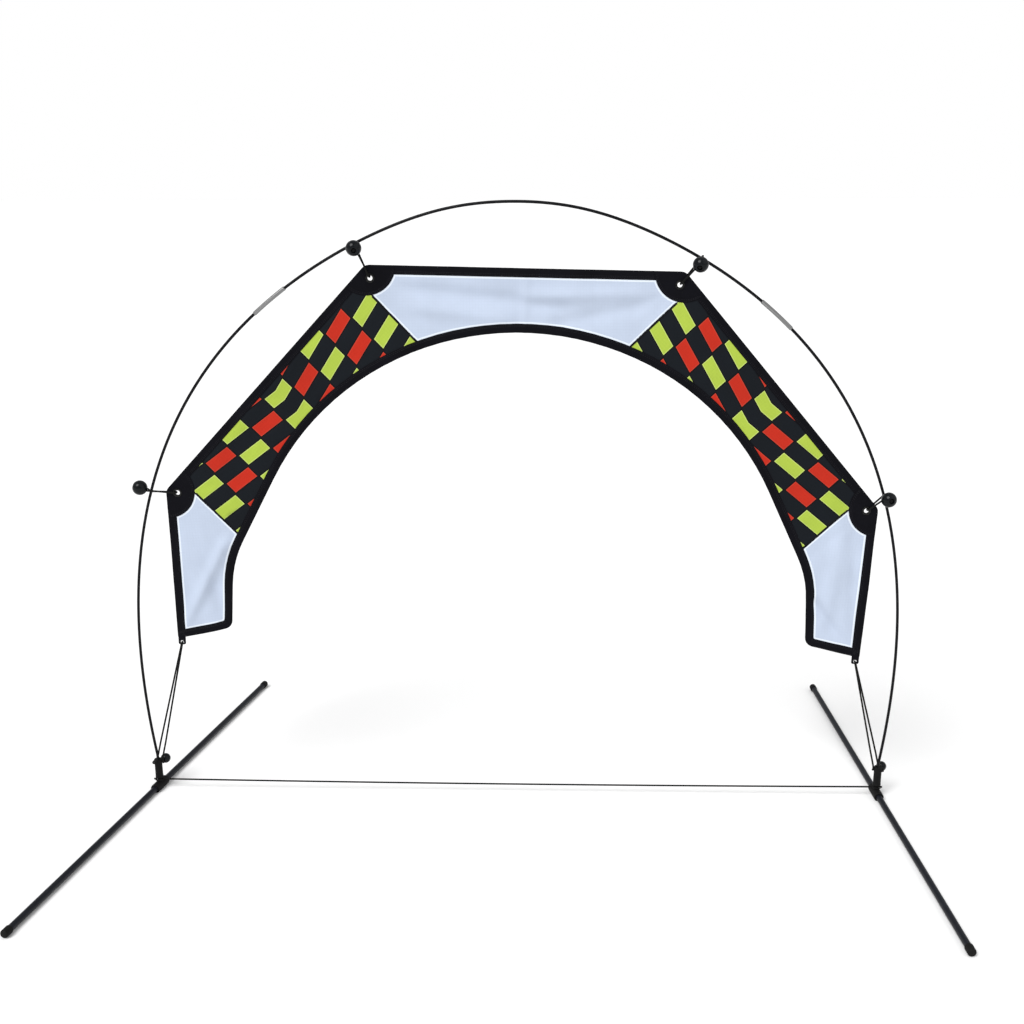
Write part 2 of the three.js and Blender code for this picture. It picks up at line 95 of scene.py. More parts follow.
CORD_HEIGHT = 19.8
CORD_SAG = 3
GAP = 0.35

SAIL_TILT = math.radians(1.3)
SAIL_SHIFT = 11.5
SAIL_PIVOT = 650
TOP_CORNER = (290, 1051)
SIDE_CORNER = (678.5, 618)
LEG_CORNER = (672, 315)
LEG_INNER_CORNER = (564, 339)
KNEE = (556, 477)
KNEE_RADIUS = 220
ARCH_APEX = 1574
ARCH_RADIUS = 527
UPPER_SEAM = 720
LOWER_SEAM = -10
PATCH_RADIUS = 55
TOP_EYELET = (281, 1027.5)
SIDE_EYELET = (656.5, 614)
TAB_EYE = (664.5, 307)
HEM_WIDTH = 16
PANEL_HALF = 0.17        # half thicknesses of the fabric's pieces
TAPE_HALF = 1.05
PATCH_HALF = 1.2
TAB_HALF = 1.15
PANEL_TUCK = 1.2         # how far a panel runs on under the bindings
TAPE_GROW = 0.3
PALE_RIM = 3.4

ELASTIC_RADIUS = 1.8
STRAND_OFFSET = 2.0
BALL_RADIUS = 14.25
BASE_BALL_RADIUS = 10
BALL_SEAT = 22
BASE_BALL_SEAT = 23
BASE_LOOP_HEIGHT = 56
RECESS_DEPTH = 7
BALL_BORE = 4.15
BALL_RECESS = 4.8
# name, side, distance along the hoop, angles of ball and leaving strand, hole
CORNER_BALLS = (
    ("left_top", -1, -301, 109, 140, TOP_EYELET),
    ("right_top", 1, 359, 117, 172, TOP_EYELET),
    ("left_side", -1, -935, 5, 100, SIDE_EYELET),
    ("right_side", 1, 942, 82, 100, SIDE_EYELET),
)
# name, side, angle of the ball
BASE_BALLS = (("left_base", -1, -111.6), ("right_base", 1, -58.6))
# The strand's turn through its hole: (reach towards the post, height in front of the fabric).
EYELET_TURN = ((7.6, 4.5), (3.9, 4.3), (2.4, 1.9), (2.2, 0), (2.4, -1.9), (3.9, -4.3),
               (7.6, -4.5))
TAB_TURN = ((8, 3.5), (3.6, 3.6), (1.0, 2.6), (0.1, 0), (1.0, -2.6), (3.6, -3.6), (8, -3.5))

SIDES = (("left", -1), ("right", 1))
FRONT = Vector((0, -1, 0))
UP = Vector((0, 0, 1))
pivots = {side: JOINTS[f"{side}_foot_swivel"]["pos_m"] for side, _ in SIDES}
CENTRE_X = (pivots["left"][0] + pivots["right"][0]) / 2 / MM
BASE_X = FOOT_SPACING / 2


# ------------------------------------------------------------------ camera
def make_camera():
    """Stands in front of the gate's left of centre, looking slightly down."""
    data = bpy.data.cameras.new("camera")
    data.sensor_width = 36
    data.lens = 42.19
    data.clip_start = 0.05
    data.clip_end = 200
    camera = bpy.data.objects.new("camera", data)
    bpy.context.scene.collection.objects.link(camera)
    yaw, pitch, roll = -0.0306, 0.2734, 0.0036
    forward = Vector(
        (math.sin(yaw) * math.cos(pitch), math.cos(yaw) * math.cos(pitch), -math.sin(pitch))
    )
    level = Vector((math.cos(yaw), -math.sin(yaw), 0))
    down = -level.cross(forward)
    right = level * math.cos(roll) + down * math.sin(roll)
    down = down * math.cos(roll) - level * math.sin(roll)
    turn = Matrix((right, -down, -forward)).transposed().to_4x4()
    place = Vector((0.0635 + CENTRE_X * MM, -2.207, 1.2124))
    camera.matrix_world = Matrix.Translation(place) @ turn
    bpy.context.scene.camera = camera


make_camera()


# ------------------------------------------------------------------ mesh helpers
def build(name, verts, faces, materials, uvs=None, slots=None, smooth=True):
    """A mesh object from points in millimetres; uvs are given per vertex, in metres."""
    mesh = bpy.data.meshes.new(name)
    mesh.from_pydata([Vector(v) * MM for v in verts], [], faces)
    for material in materials if isinstance(materials, (list, tuple)) else [materials]:
        mesh.materials.append(material)
    if uvs is not None:
        layer = mesh.uv_layers.new(name="UVMap")
        index = np.empty(len(mesh.loops), int)
        mesh.loops.foreach_get("vertex_index", index)
        layer.data.foreach_set("uv", np.asarray(uvs, np.float32)[index].ravel())
    if slots is not None:
        mesh.polygons.foreach_set("material_index", slots)
    mesh.polygons.foreach_set("use_smooth", [smooth] * len(mesh.polygons))
    mesh.set_sharp_from_angle(angle=SHARP_ANGLE)
    mesh.validate()
    thing = bpy.data.objects.new(name, mesh)
    bpy.context.scene.collection.objects.link(thing)
    return thing


def build_parts(name, parts, material):
    """A mesh object from the (vertices, faces, uvs) that the *_parts functions make."""
    verts, faces, uvs = parts
    return build(name, verts, faces, material, uvs)


def place(thing, body, slot, *nodes):
    """Ride on a body and stand for CAD nodes; slot is not used."""
    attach(thing, body)
    if nodes:
        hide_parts(*nodes)
    return thing


def smooth_path(points, step):
    """A centripetal Catmull-Rom path through points, resampled at an even step."""
    points = [Vector(p) for p in points]
    padded = [points[0] * 2 - points[1], *points, points[-1] * 2 - points[-2]]
    fine = [points[0]]
    for p0, p1, p2, p3 in zip(padded, padded[1:], padded[2:], padded[3:]):
        knots = [0.0]
        for a, b in ((p0, p1), (p1, p2), (p2, p3)):
            knots.append(knots[-1] + max((b - a).length, 1e-6) ** 0.5)
        t0, t1, t2, t3 = knots
        count = max(2, math.ceil((p2 - p1).length / step))
        for i in range(1, count + 1):
            t = t1 + (t2 - t1) * i / count
            a1 = p0 * ((t1 - t) / (t1 - t0)) + p1 * ((t - t0) / (t1 - t0))
            a2 = p1 * ((t2 - t) / (t2 - t1)) + p2 * ((t - t1) / (t2 - t1))
            a3 = p2 * ((t3 - t) / (t3 - t2)) + p3 * ((t - t2) / (t3 - t2))
            b1 = a1 * ((t2 - t) / (t2 - t0)) + a2 * ((t - t0) / (t2 - t0))
            b2 = a2 * ((t3 - t) / (t3 - t1)) + a3 * ((t - t1) / (t3 - t1))
            fine.append(b1 * ((t2 - t) / (t2 - t1)) + b2 * ((t - t1) / (t2 - t1)))
    return fine


def tube_parts(path, radius, sides=16, inner=None, ends=(True, True)):
    """Vertices, faces and uvs of a tube along a path; with an inner radius it is hollow."""
    count = len(path)
    tangents = []
    for i in range(count):
        tangents.append((path[min(i + 1, count - 1)] - path[max(i - 1, 0)]).normalized())
    normal = tangents[0].orthogonal().normalized()
    frames = []
    for i, tangent in enumerate(tangents):
        if i:
            normal = (normal - tangent * normal.dot(tangent)).normalized()
        frames.append((normal, tangent.cross(normal)))
    lengths = [0.0]
    for a, b in zip(path, path[1:]):
        lengths.append(lengths[-1] + (b - a).length)
    chamfer = min(0.18 * radius, 0.6)
    verts, faces, uvs = [], [], []

    def rings(size, flip):
        stations = [(i, 0.0, size) for i in range(count)]
        if ends[0]:
            stations.insert(0, (0, 0.0, size - chamfer if not flip else size))
            stations[1] = (0, chamfer, size)
        if ends[1]:
            stations[-1] = (count - 1, -chamfer, size)
            stations.append((count - 1, 0.0, size - chamfer if not flip else size))
        first = len(verts)
        for i, along, r in stations:
            centre = path[i] + tangents[i] * along
            a, b = frames[i]
            for k in range(sides + 1):
                angle = 2 * math.pi * k / sides
                verts.append(centre + a * (r * math.cos(angle)) + b * (r * math.sin(angle)))
                uvs.append((k / sides * 2 * math.pi * size * MM, (lengths[i] + along) * MM))
        for j in range(len(stations) - 1):
            for k in range(sides):
                p = first + j * (sides + 1) + k
                q = p + sides + 1
                quad = [p, p + 1, q + 1, q]
                faces.append(quad[::-1] if flip else quad)
        return first, first + (len(stations) - 1) * (sides + 1)

    outer_start, outer_end = rings(radius, False)
    if inner is None:
        faces.append([outer_start + k for k in range(sides)][::-1])
        faces.append([outer_end + k for k in range(sides)])
    else:
        inner_start, inner_end = rings(inner, True)
        for k in range(sides):
            faces.append([outer_start + k + 1, outer_start + k,
                          inner_start + k, inner_start + k + 1])
            faces.append([outer_end + k, outer_end + k + 1, inner_end + k + 1, inner_end + k])
    return verts, faces, uvs


def weld(thing, outwards=False):
    """Joins the doubled seam vertices of a mesh; uvs stay, since they live on corners."""
    cell = bmesh.new()
    cell.from_mesh(thing.data)
    bmesh.ops.remove_doubles(cell, verts=cell.verts, dist=0.01 * MM)
    if outwards:
        bmesh.ops.recalc_face_normals(cell, faces=cell.faces)
    cell.to_mesh(thing.data)
    cell.free()
    return thing


def tube(name, path, radius, material, sides=16, inner=None, ends=(True, True)):
    return weld(build_parts(name, tube_parts(path, radius, sides, inner, ends), material))


def join_parts(*groups):
    """One vertex, face and uv list from several."""
    verts, faces, uvs = [], [], []
    for more_verts, more_faces, more_uvs in groups:
        base = len(verts)
        verts += list(more_verts)
        faces += [[base + i for i in face] for face in more_faces]
        uvs += list(more_uvs)
    return verts, faces, uvs


def lathe_parts(profile, centre, axis, sides=48):
    """A closed profile of (radius, height) pairs turned about an axis. A pair at radius 0
    at both ends closes it on the axis; otherwise the profile closes on itself."""
    axis = Vector(axis).normalized()
    a = axis.orthogonal().normalized()
    b = axis.cross(a)
    on_axis = profile[0][0] < 1e-6
    rows = list(profile) if on_axis else [*profile, profile[0]]
    along = [0.0]
    for p, q in zip(rows, rows[1:]):
        along.append(along[-1] + math.dist(p, q))
    verts, faces, uvs = [], [], []
    for (radius, height), v in zip(rows, along):
        for k in range(sides + 1):
            angle = 2 * math.pi * k / sides
            spoke = a * (radius * math.cos(angle)) + b * (radius * math.sin(angle))
            verts.append(Vector(centre) + axis * height + spoke)
            uvs.append((k / sides * 2 * math.pi * max(radius, 1) * MM, v * MM))
    for j in range(len(rows) - 1):
        for k in range(sides):
            p = j * (sides + 1) + k
            q = p + sides + 1
            if rows[j][0] < 1e-6:
                faces.append([p, q + 1, q])
            elif rows[j + 1][0] < 1e-6:
                faces.append([p, p + 1, q])
            else:
                faces.append([p, p + 1, q + 1, q])
    return verts, faces, uvs


def face_out(thing):
    """Turns every face of a closed mesh outwards."""
    weld(thing, outwards=True)
    thing.data.set_sharp_from_angle(angle=SHARP_ANGLE)
    return thing


def rounded(profile, radius, steps=4):
    """Rounds every corner of an open profile of (radius, height) pairs."""
    out = [profile[0]]
    for before, corner, after in zip(profile, profile[1:], profile[2:]):
        p, c, q = Vector(before), Vector(corner), Vector(after)
        reach = min(radius, (p - c).length * 0.45, (q - c).length * 0.45)
        start = c + (p - c).normalized() * reach
        end = c + (q - c).normalized() * reach
        for i in range(steps + 1):
            t = i / steps
            out.append(tuple(start * (1 - t) ** 2 + c * (2 * t * (1 - t)) + end * t**2))
    out.append(profile[-1])
    return out


# ------------------------------------------------------------------ materials
class Graph:
    """A short way to write a material's nodes."""

    def __init__(self, name):
        self.material = bpy.data.materials.new(name)
        self.material.use_nodes = True
        self.tree = self.material.node_tree
        self.shader = self.tree.nodes["Principled BSDF"]

    def node(self, kind, inputs=(), **settings):
        made = self.tree.nodes.new(f"ShaderNode{kind}")
        for key, value in settings.items():
            setattr(made, key, value)
        for key, value in dict(inputs).items():
            self.feed(made.inputs[key], value)
        return made

    def feed(self, socket, value):
        if isinstance(value, bpy.types.NodeSocket):
            self.tree.links.new(value, socket)
        elif isinstance(value, bpy.types.Node):
            self.tree.links.new(value.outputs[0], socket)
        else:
            socket.default_value = value

    def math(self, operation, a, b=0.0):
        return self.node("Math", {0: a, 1: b}, operation=operation).outputs[0]

    def scaled(self, value, gain, base):
        """gain * value + base."""
        inputs = {0: value, 1: gain, 2: base}
        return self.node("Math", inputs, operation="MULTIPLY_ADD").outputs[0]

    def uv(self, scale_u=1.0, scale_v=1.0):
        source = self.node("TexCoord").outputs["UV"]
        scale = (scale_u, scale_v, 1.0)
        return self.node("Mapping", {"Vector": source, "Scale": scale}).outputs[0]

    def place(self, scale=(1.0, 1.0, 1.0)):
        source = self.node("TexCoord").outputs["Object"]
        return self.node("Mapping", {"Vector": source, "Scale": scale}).outputs[0]

    def noise(self, vector, scale, detail=3.0, roughness=0.5):
        inputs = {"Vector": vector, "Scale": scale, "Detail": detail, "Roughness": roughness}
        return self.node("TexNoise", inputs).outputs["Fac"]

    def ramp(self, factor, stops):
        made = self.node("ValToRGB", {"Fac": factor})
        elements = made.color_ramp.elements
        while len(elements) < len(stops):
            elements.new(0.5)
        for element, (position, colour) in zip(elements, stops):
            element.position = position
            element.color = colour if len(colour) == 4 else (*colour, 1.0)
        return made.outputs[0]

    def bump(self, height, strength, distance):
        inputs = {"Height": height, "Strength": strength, "Distance": distance}
        return self.node("Bump", inputs).outputs[0]

    def finish(self, **inputs):
        for key, value in inputs.items():
            self.feed(self.shader.inputs[key.replace("_", " ")], value)
        return self.material


def grey(value):
    return (value, value, value)


def shades(colour, *factors):
    return [tuple(min(1.0, channel * f) for channel in colour) for f in factors]


def rod_material():
    """Black glass-fibre rod with the faint spiral of its wrapping film."""
    g = Graph("wrapped_rod")
    uv = g.uv(190, 330)
    spiral = g.node("TexWave", {"Vector": uv, "Scale": 1.0, "Distortion": 0.4},
                    bands_direction="DIAGONAL").outputs["Fac"]
    mottle = g.noise(g.place(), 60, 4)
    colour = g.ramp(mottle, [(0.3, (0.002, 0.002, 0.003)), (0.8, (0.006, 0.006, 0.008))])
    rough = g.scaled(mottle, 0.25, 0.2)
    return g.finish(Base_Color=colour, Roughness=rough, Specular_IOR_Level=0.12,
                    Normal=g.bump(spiral, 0.25, 0.0002))


def metal_material():
    """Drawn aluminium with long fine scratches."""
    g = Graph("drawn_aluminium")
    streaks = g.noise(g.uv(900, 12), 1.0, 4)
    spots = g.noise(g.place(), 220, 2)
    colour = g.ramp(streaks, [(0.3, grey(0.16)), (0.7, grey(0.36))])
    rough = g.scaled(spots, 0.25, 0.22)
    return g.finish(Base_Color=colour, Metallic=1.0, Roughness=rough,
                    Normal=g.bump(streaks, 0.2, 0.0001))


def rubber_material(name, tone):
    """Matt moulded rubber, dusty in places."""
    g = Graph(name)
    grain = g.noise(g.place(), 900, 3)
    dust = g.noise(g.place(), 45, 5, 0.65)
    colour = g.ramp(dust, [(0.35, grey(tone)), (0.62, grey(tone * 1.7)), (0.8, grey(tone * 3))])
    rough = g.scaled(dust, 0.3, 0.45)
    return g.finish(Base_Color=colour, Roughness=rough, Specular_IOR_Level=0.08,
                    Normal=g.bump(grain, 0.3, 0.0002))


def tube_material():
    """Satin pultruded tube: lengthwise fibre lines and scuffs."""
    g = Graph("pultruded_tube")
    fibres = g.noise(g.uv(1400, 9), 1.0, 3)
    scuffs = g.noise(g.uv(160, 45), 1.0, 6, 0.7)
    base = g.ramp(scuffs, [(0.35, (0.005, 0.006, 0.009)), (0.62, (0.010, 0.011, 0.016)),
                           (0.8, (0.035, 0.036, 0.044))])
    rough = g.scaled(fibres, 0.25, 0.28)
    return g.finish(Base_Color=base, Roughness=rough, Specular_IOR_Level=0.16,
                    Normal=g.bump(fibres, 0.35, 0.0002))


def ball_material():
    """Glossy black bead, with orange peel and hairline rubs."""
    g = Graph("glossy_bead")
    peel = g.noise(g.place(), 260, 2)
    rubs = g.noise(g.place((1, 1, 6)), 120, 5, 0.7)
    colour = g.ramp(rubs, [(0.4, (0.002, 0.003, 0.004)), (0.75, (0.008, 0.009, 0.011))])
    rough = g.ramp(rubs, [(0.45, grey(0.12)), (0.75, grey(0.38))])
    return g.finish(Base_Color=colour, Roughness=rough, Specular_IOR_Level=0.16,
                    Normal=g.bump(peel, 0.08, 0.0003))


def braid_material(name, tone, pitch):
    """Round braid: two crossing sets of slanted yarns, with painted shade in the grooves between
    them.
    """
    g = Graph(name)
    rise = 1 / pitch
    sets = []
    for lean in (rise, -rise):
        both = g.node("SeparateXYZ", {0: g.uv(rise, lean)})
        phase = g.math("ADD", both.outputs[0], both.outputs[1])
        sets.append(g.math("ABSOLUTE", g.math("SINE", g.math("MULTIPLY", phase, math.pi))))
    height = g.math("MAXIMUM", *sets)
    fuzz = g.noise(g.place(), 1500, 2)
    # painted shade: the colour darkens where the yarns' height is low, in the grooves between
    # them
    colour = g.ramp(height, [(0.3, grey(tone * 0.5)), (0.95, grey(tone * 1.6))])
    rough = g.scaled(fuzz, 0.2, 0.65)
    return g.finish(Base_Color=colour, Roughness=rough, Specular_IOR_Level=0.1,
                    Sheen_Weight=0.02, Normal=g.bump(height, 0.6, 0.0003))


def cloth_material(name, colour, spread=0.07, sheen=0.03, weave=0.35):
    """Ripstop: fine plain weave, a thicker thread every few millimetres, soft creases with
    painted shade where they lie low.
    """
    g = Graph(name)
    uv = g.uv()
    parts = g.node("SeparateXYZ", {0: uv})
    threads, ribs = [], []
    for axis in (0, 1):
        line = g.math("MULTIPLY", parts.outputs[axis], math.pi / 0.0005)
        threads.append(g.math("ABSOLUTE", g.math("SINE", line)))
        cell = g.math("PINGPONG", parts.outputs[axis], 0.0028)
        ribs.append(g.math("LESS_THAN", cell, 0.0003))
    plain = g.math("MULTIPLY", *threads)
    rib = g.math("MAXIMUM", *ribs)
    height = g.math("ADD", g.math("MULTIPLY", plain, 0.5), rib)
    creases = g.noise(g.place((1.0, 1.0, 0.6)), 26, 6, 0.6)
    blotch = g.noise(g.place(), 7, 3)
    # painted shade: the crease noise, which also drives the bump, darkens the colour where the
    # creases lie low; the blotch noise is random tone
    tone = g.math("ADD", g.math("MULTIPLY", creases, 0.5), g.math("MULTIPLY", blotch, 0.5))
    dark, light = shades(colour, 1 - spread, 1 + spread)
    cloth = g.ramp(tone, [(0.32, dark), (0.68, light)])
    darker = g.node("MixRGB", {"Fac": g.math("MULTIPLY", rib, 0.16), "Color1": cloth,
                               "Color2": (*shades(colour, 0.72)[0], 1.0)}, blend_type="MIX")
    rough = g.scaled(creases, 0.25, 0.5)
    fine = g.bump(height, weave, 0.0001)
    soft = g.node("Bump", {"Height": creases, "Strength": 0.25, "Distance": 0.002,
                           "Normal": fine}).outputs[0]
    return g.finish(Base_Color=darker.outputs[0], Roughness=rough, Sheen_Weight=sheen,
                    Specular_IOR_Level=0.12, Normal=soft)


def tape_material():
    """Woven binding tape: a herringbone of fine ribs."""
    g = Graph("binding_tape")
    parts = g.node("SeparateXYZ", {0: g.uv()})
    zigzag = g.math("PINGPONG", parts.outputs[1], 0.0022)
    line = g.math("ADD", parts.outputs[0], zigzag)
    ribs = g.math("ABSOLUTE", g.math("SINE", g.math("MULTIPLY", line, math.pi / 0.0008)))
    lint = g.noise(g.place(), 320, 5, 0.7)
    wear = g.noise(g.place(), 18, 4)
    colour = g.ramp(wear, [(0.3, (0.0015, 0.0015, 0.003)), (0.7, (0.003, 0.003, 0.0055))])
    fleck = g.node("MixRGB", {"Fac": g.ramp(lint, [(0.62, grey(0.0)), (0.8, grey(0.4))]),
                              "Color1": colour, "Color2": (0.009, 0.009, 0.013, 1.0)})
    rough = g.scaled(lint, 0.25, 0.6)
    return g.finish(Base_Color=fleck.outputs[0], Roughness=rough, Sheen_Weight=0.02,
                    Specular_IOR_Level=0.08, Normal=g.bump(ribs, 0.4, 0.0002))


def thread_material(name, colour):
    g = Graph(name)
    ply = g.noise(g.place(), 2400, 2)
    tone = g.ramp(ply, [(0.3, shades(colour, 0.7)[0]), (0.7, shades(colour, 1.3)[0])])
    return g.finish(Base_Color=tone, Roughness=0.55, Specular_IOR_Level=0.15,
                    Normal=g.bump(ply, 0.4, 0.0002))


def eyelet_material():
    """Black-nickel eyelet, rubbed brighter in random patches."""
    g = Graph("black_nickel")
    rub = g.noise(g.place(), 420, 4, 0.6)
    colour = g.ramp(rub, [(0.4, grey(0.012)), (0.72, grey(0.05))])
    rough = g.scaled(rub, 0.3, 0.18)
    return g.finish(Base_Color=colour, Metallic=1.0, Roughness=rough,
                    Normal=g.bump(rub, 0.1, 0.0002))


MATERIALS = {
    "rod": rod_material(),
    "metal": metal_material(),
    "rubber": rubber_material("moulded_rubber", 0.005),
    "cap": rubber_material("cap_rubber", 0.006),
    "tube": tube_material(),
    "ball": ball_material(),
    "elastic": braid_material("elastic_braid", 0.004, 0.0018),
    "cord": braid_material("line_braid", 0.004, 0.0016),
    "white": cloth_material("white_ripstop", (0.47, 0.535, 0.656), 0.06),
    "white_edge": cloth_material("white_seam", (0.70, 0.76, 0.84), 0.03),
    "lime": cloth_material("lime_ripstop", (0.37, 0.49, 0.060), 0.06),
    "lime_rim": cloth_material("lime_rim", (0.50, 0.62, 0.16), 0.04),
    "red": cloth_material("red_ripstop", (0.47, 0.022, 0.009), 0.08),
    "red_rim": cloth_material("red_rim", (0.50, 0.045, 0.024), 0.06),
    "charcoal": cloth_material("charcoal_ripstop", (0.0045, 0.0065, 0.0095), 0.2, 0.0),
    "line": cloth_material("black_ripstop", (0.002, 0.002, 0.003), 0.15, 0.0),
    "tape": tape_material(),
    "thread": thread_material("black_thread", (0.012, 0.012, 0.015)),
    "eyelet": eyelet_material(),
}


# ------------------------------------------------------------------ hoop
def bezier(points, t):
    while len(points) > 1:
        points = [a.lerp(b, t) for a, b in zip(points, points[1:])]
    return points[0]


BEND_START = SOCKET_TOP + 8
half_hoop = [
    Vector((0, 0, HOOP_HEIGHT)),
    Vector((HOOP_CROWN_HANDLE, 0, HOOP_HEIGHT)),
    Vector((HOOP_SHOULDER[0], 0, HOOP_SHOULDER[1])),
    Vector((BASE_X + HOOP_SIDE_HANDLE * math.sin(HOOP_LEAN), 0,
            BEND_START + HOOP_SIDE_HANDLE * math.cos(HOOP_LEAN))),
    Vector((BASE_X, 0, BEND_START)),
]
half_points = [bezier(half_hoop, i / 2000) for i in range(2001)]
half_lengths = np.concatenate(
    ([0], np.cumsum([(b - a).length for a, b in zip(half_points, half_points[1:])]))
)
HALF_LENGTH = float(half_lengths[-1])
half_array = np.array(half_points)


def hoop_point(distance):
    """A point of the hoop at a distance from the crown, negative to the left."""
    side = -1 if distance < 0 else 1
    along = abs(distance)
    if along <= HALF_LENGTH:
        spot = [np.interp(along, half_lengths, half_array[:, k]) for k in range(3)]
    else:
        spot = [BASE_X, 0, BEND_START - (along - HALF_LENGTH)]
    return Vector((side * spot[0] + CENTRE_X, 0, spot[2]))


def hoop_run(start, end, step=10):
    count = max(2, round(abs(end - start) / step))
    return [hoop_point(start + (end - start) * i / count) for i in range(count + 1)]


def make_hoop():
    left_joint = CROWN_ROD_SHIFT - CROWN_ROD_LENGTH / 2
    right_joint = CROWN_ROD_SHIFT + CROWN_ROD_LENGTH / 2
    foot = HALF_LENGTH + BEND_START - ROD_SEAT
    runs = {
        "left_rod": (-foot, left_joint - GAP / 2),
        "crown_rod": (left_joint + GAP / 2, right_joint - GAP / 2),
        "right_rod": (right_joint + GAP / 2, foot),
    }
    for name, (start, end) in runs.items():
        rod = tube(f"{name}_visual", hoop_run(start, end), ROD_RADIUS, MATERIALS["rod"], 18)
        place(rod, "gate", "black_rod", name)
    for (side, _), joint in zip(SIDES, (left_joint, right_joint)):
        half = FERRULE_LENGTH / 2
        path = hoop_run(joint - half, joint + half, 5)
        sleeve = tube(f"{side}_ferrule_visual", path, FERRULE_RADIUS, MATERIALS["metal"], 32,
                      inner=ROD_RADIUS + 0.3)
        place(sleeve, "gate", "ferrule_metal", f"{side}_ferrule")


# ------------------------------------------------------------------ feet
def apply_modifiers(thing):
    graph = bpy.context.evaluated_depsgraph_get()
    made = bpy.data.meshes.new_from_object(thing.evaluated_get(graph))
    thing.modifiers.clear()
    thing.data = made


def cut(thing, other, operation):
    change = thing.modifiers.new("cut", "BOOLEAN")
    change.operation = operation
    change.solver = "EXACT"
    change.object = other
    bpy.context.view_layer.update()
    apply_modifiers(thing)
    bpy.data.objects.remove(other)


def plain_lathe(profile, centre, axis, sides=48):
    parts = lathe_parts(profile, centre, axis, sides)
    return face_out(build_parts("shape", parts, MATERIALS["rubber"]))


def make_connector(side, centre_x, splay):
    """Moulded in one piece: a sleeve round the tube, a neck and an upright socket."""
    along = Vector((-math.sin(splay), math.cos(splay), 0))
    base = Vector((centre_x, 0, 0))
    sleeve_profile = rounded(
        [(0, -SLEEVE_LENGTH / 2), (SLEEVE_RADIUS, -SLEEVE_LENGTH / 2),
         (SLEEVE_RADIUS, SLEEVE_LENGTH / 2), (0, SLEEVE_LENGTH / 2)], 1.2)
    shape = plain_lathe(sleeve_profile, base + UP * TUBE_HEIGHT, along)
    upright = rounded(
        [(0, 10), (7.2, 10), (NECK_RADIUS, 17.4), (NECK_RADIUS, 21.6), (SOCKET_RADIUS, 24),
         (SOCKET_RADIUS, 28), (SOCKET_RADIUS - 0.4, 29.5), (SOCKET_RADIUS - 0.4, 58),
         (SOCKET_RADIUS, 59.5), (SOCKET_RADIUS, SOCKET_TOP), (0, SOCKET_TOP)], 1.1)
    cut(shape, plain_lathe(upright, base, UP), "UNION")
    tube_bore = [(0, -40), (TUBE_RADIUS + 0.35, -40), (TUBE_RADIUS + 0.35, 40), (0, 40)]
    cut(shape, plain_lathe(tube_bore, base + UP * TUBE_HEIGHT, along), "DIFFERENCE")
    rod_bore = [(0, ROD_SEAT - GAP), (SOCKET_BORE, ROD_SEAT - GAP), (SOCKET_BORE, 63.4),
                (SOCKET_BORE + 1.4, 66), (0, 66)]
    cut(shape, plain_lathe(rod_bore, base, UP), "DIFFERENCE")
    remesh = shape.modifiers.new("remesh", "REMESH")
    remesh.mode = "VOXEL"
    remesh.voxel_size = 0.6 * MM
    smooth = shape.modifiers.new("smooth", "SMOOTH")
    smooth.factor = 0.5
    smooth.iterations = 4
    apply_modifiers(shape)
    points = np.array([v.co for v in shape.data.vertices])
    points[:, 2] = np.maximum(points[:, 2], 0)
    shape.data.vertices.foreach_set("co", points.ravel())
    shape.data.polygons.foreach_set("use_smooth", [True] * len(shape.data.polygons))
    shape.data.update()
    shape.name = f"{side}_connector_visual"
    shape.data.materials.clear()
    shape.data.materials.append(MATERIALS["rubber"])
    place(shape, f"{side}_foot", "connector_rubber", f"{side}_foot_connector")


def make_feet():
    for side, sign in SIDES:
        centre_x = CENTRE_X + sign * BASE_X
        splay = sign * SPLAY[side]
        along = Vector((-math.sin(splay), math.cos(splay), 0))
        middle = Vector((centre_x, 0, TUBE_HEIGHT))
        make_connector(side, centre_x, splay)
        half = TUBE_LENGTH / 2
        path = [middle + along * (-half + TUBE_LENGTH * i / 40) for i in range(41)]
        pipe = tube(f"{side}_tube_visual", path, TUBE_RADIUS, MATERIALS["tube"], 32,
                    inner=TUBE_BORE)
        place(pipe, f"{side}_foot", "foot_tube", f"{side}_foot_tube")
        inner = TUBE_RADIUS + GAP
        shell = [(0, CAP_OVERLAP + GAP), (inner, CAP_OVERLAP + GAP), (inner, 0),
                 (CAP_RADIUS - 0.1, 0), (CAP_RADIUS, 0.6), (CAP_RADIUS, 1.8),
                 (CAP_RADIUS - 0.35, 2.2), (CAP_RADIUS - 0.35, 3), (CAP_RADIUS, 3.4)]
        straight = CAP_LENGTH - CAP_RADIUS * 0.6
        for i in range(13):
            angle = i / 12 * math.pi / 2
            shell.append((CAP_RADIUS * math.cos(angle),
                          straight + (CAP_LENGTH - straight) * math.sin(angle)))
        shell[-1] = (0, CAP_LENGTH)
        for end, sense in (("rear", 1), ("front", -1)):
            start = middle + along * (sense * (half - CAP_OVERLAP))
            cap = build_parts(f"{side}_{end}_cap_visual",
                              lathe_parts(shell, start, along * sense), MATERIALS["cap"])
            place(face_out(cap), f"{side}_foot", "cap_rubber", f"{side}_{end}_cap")


# ------------------------------------------------------------------ ground cord
LOOP_RADIUS = NECK_RADIUS + GAP + CORD_RADIUS


def knot_parts(centre, axis, size, radius, sides=10):
    """A small overhand knot: a trefoil of cord round an axis."""
    axis = Vector(axis).normalized()
    a = axis.orthogonal().normalized()
    b = axis.cross(a)
    reach = size - radius
    path = []
    for i in range(73):
        t = 2 * math.pi * i / 72
        spread = (2 + math.cos(3 * t)) / 3
        rise = math.sin(3 * t) * 0.42 * reach
        path.append(Vector(centre) + a * (reach * spread * math.cos(2 * t))
                    + b * (reach * spread * math.sin(2 * t)) + axis * rise)
    return tube_parts(path, radius, sides)


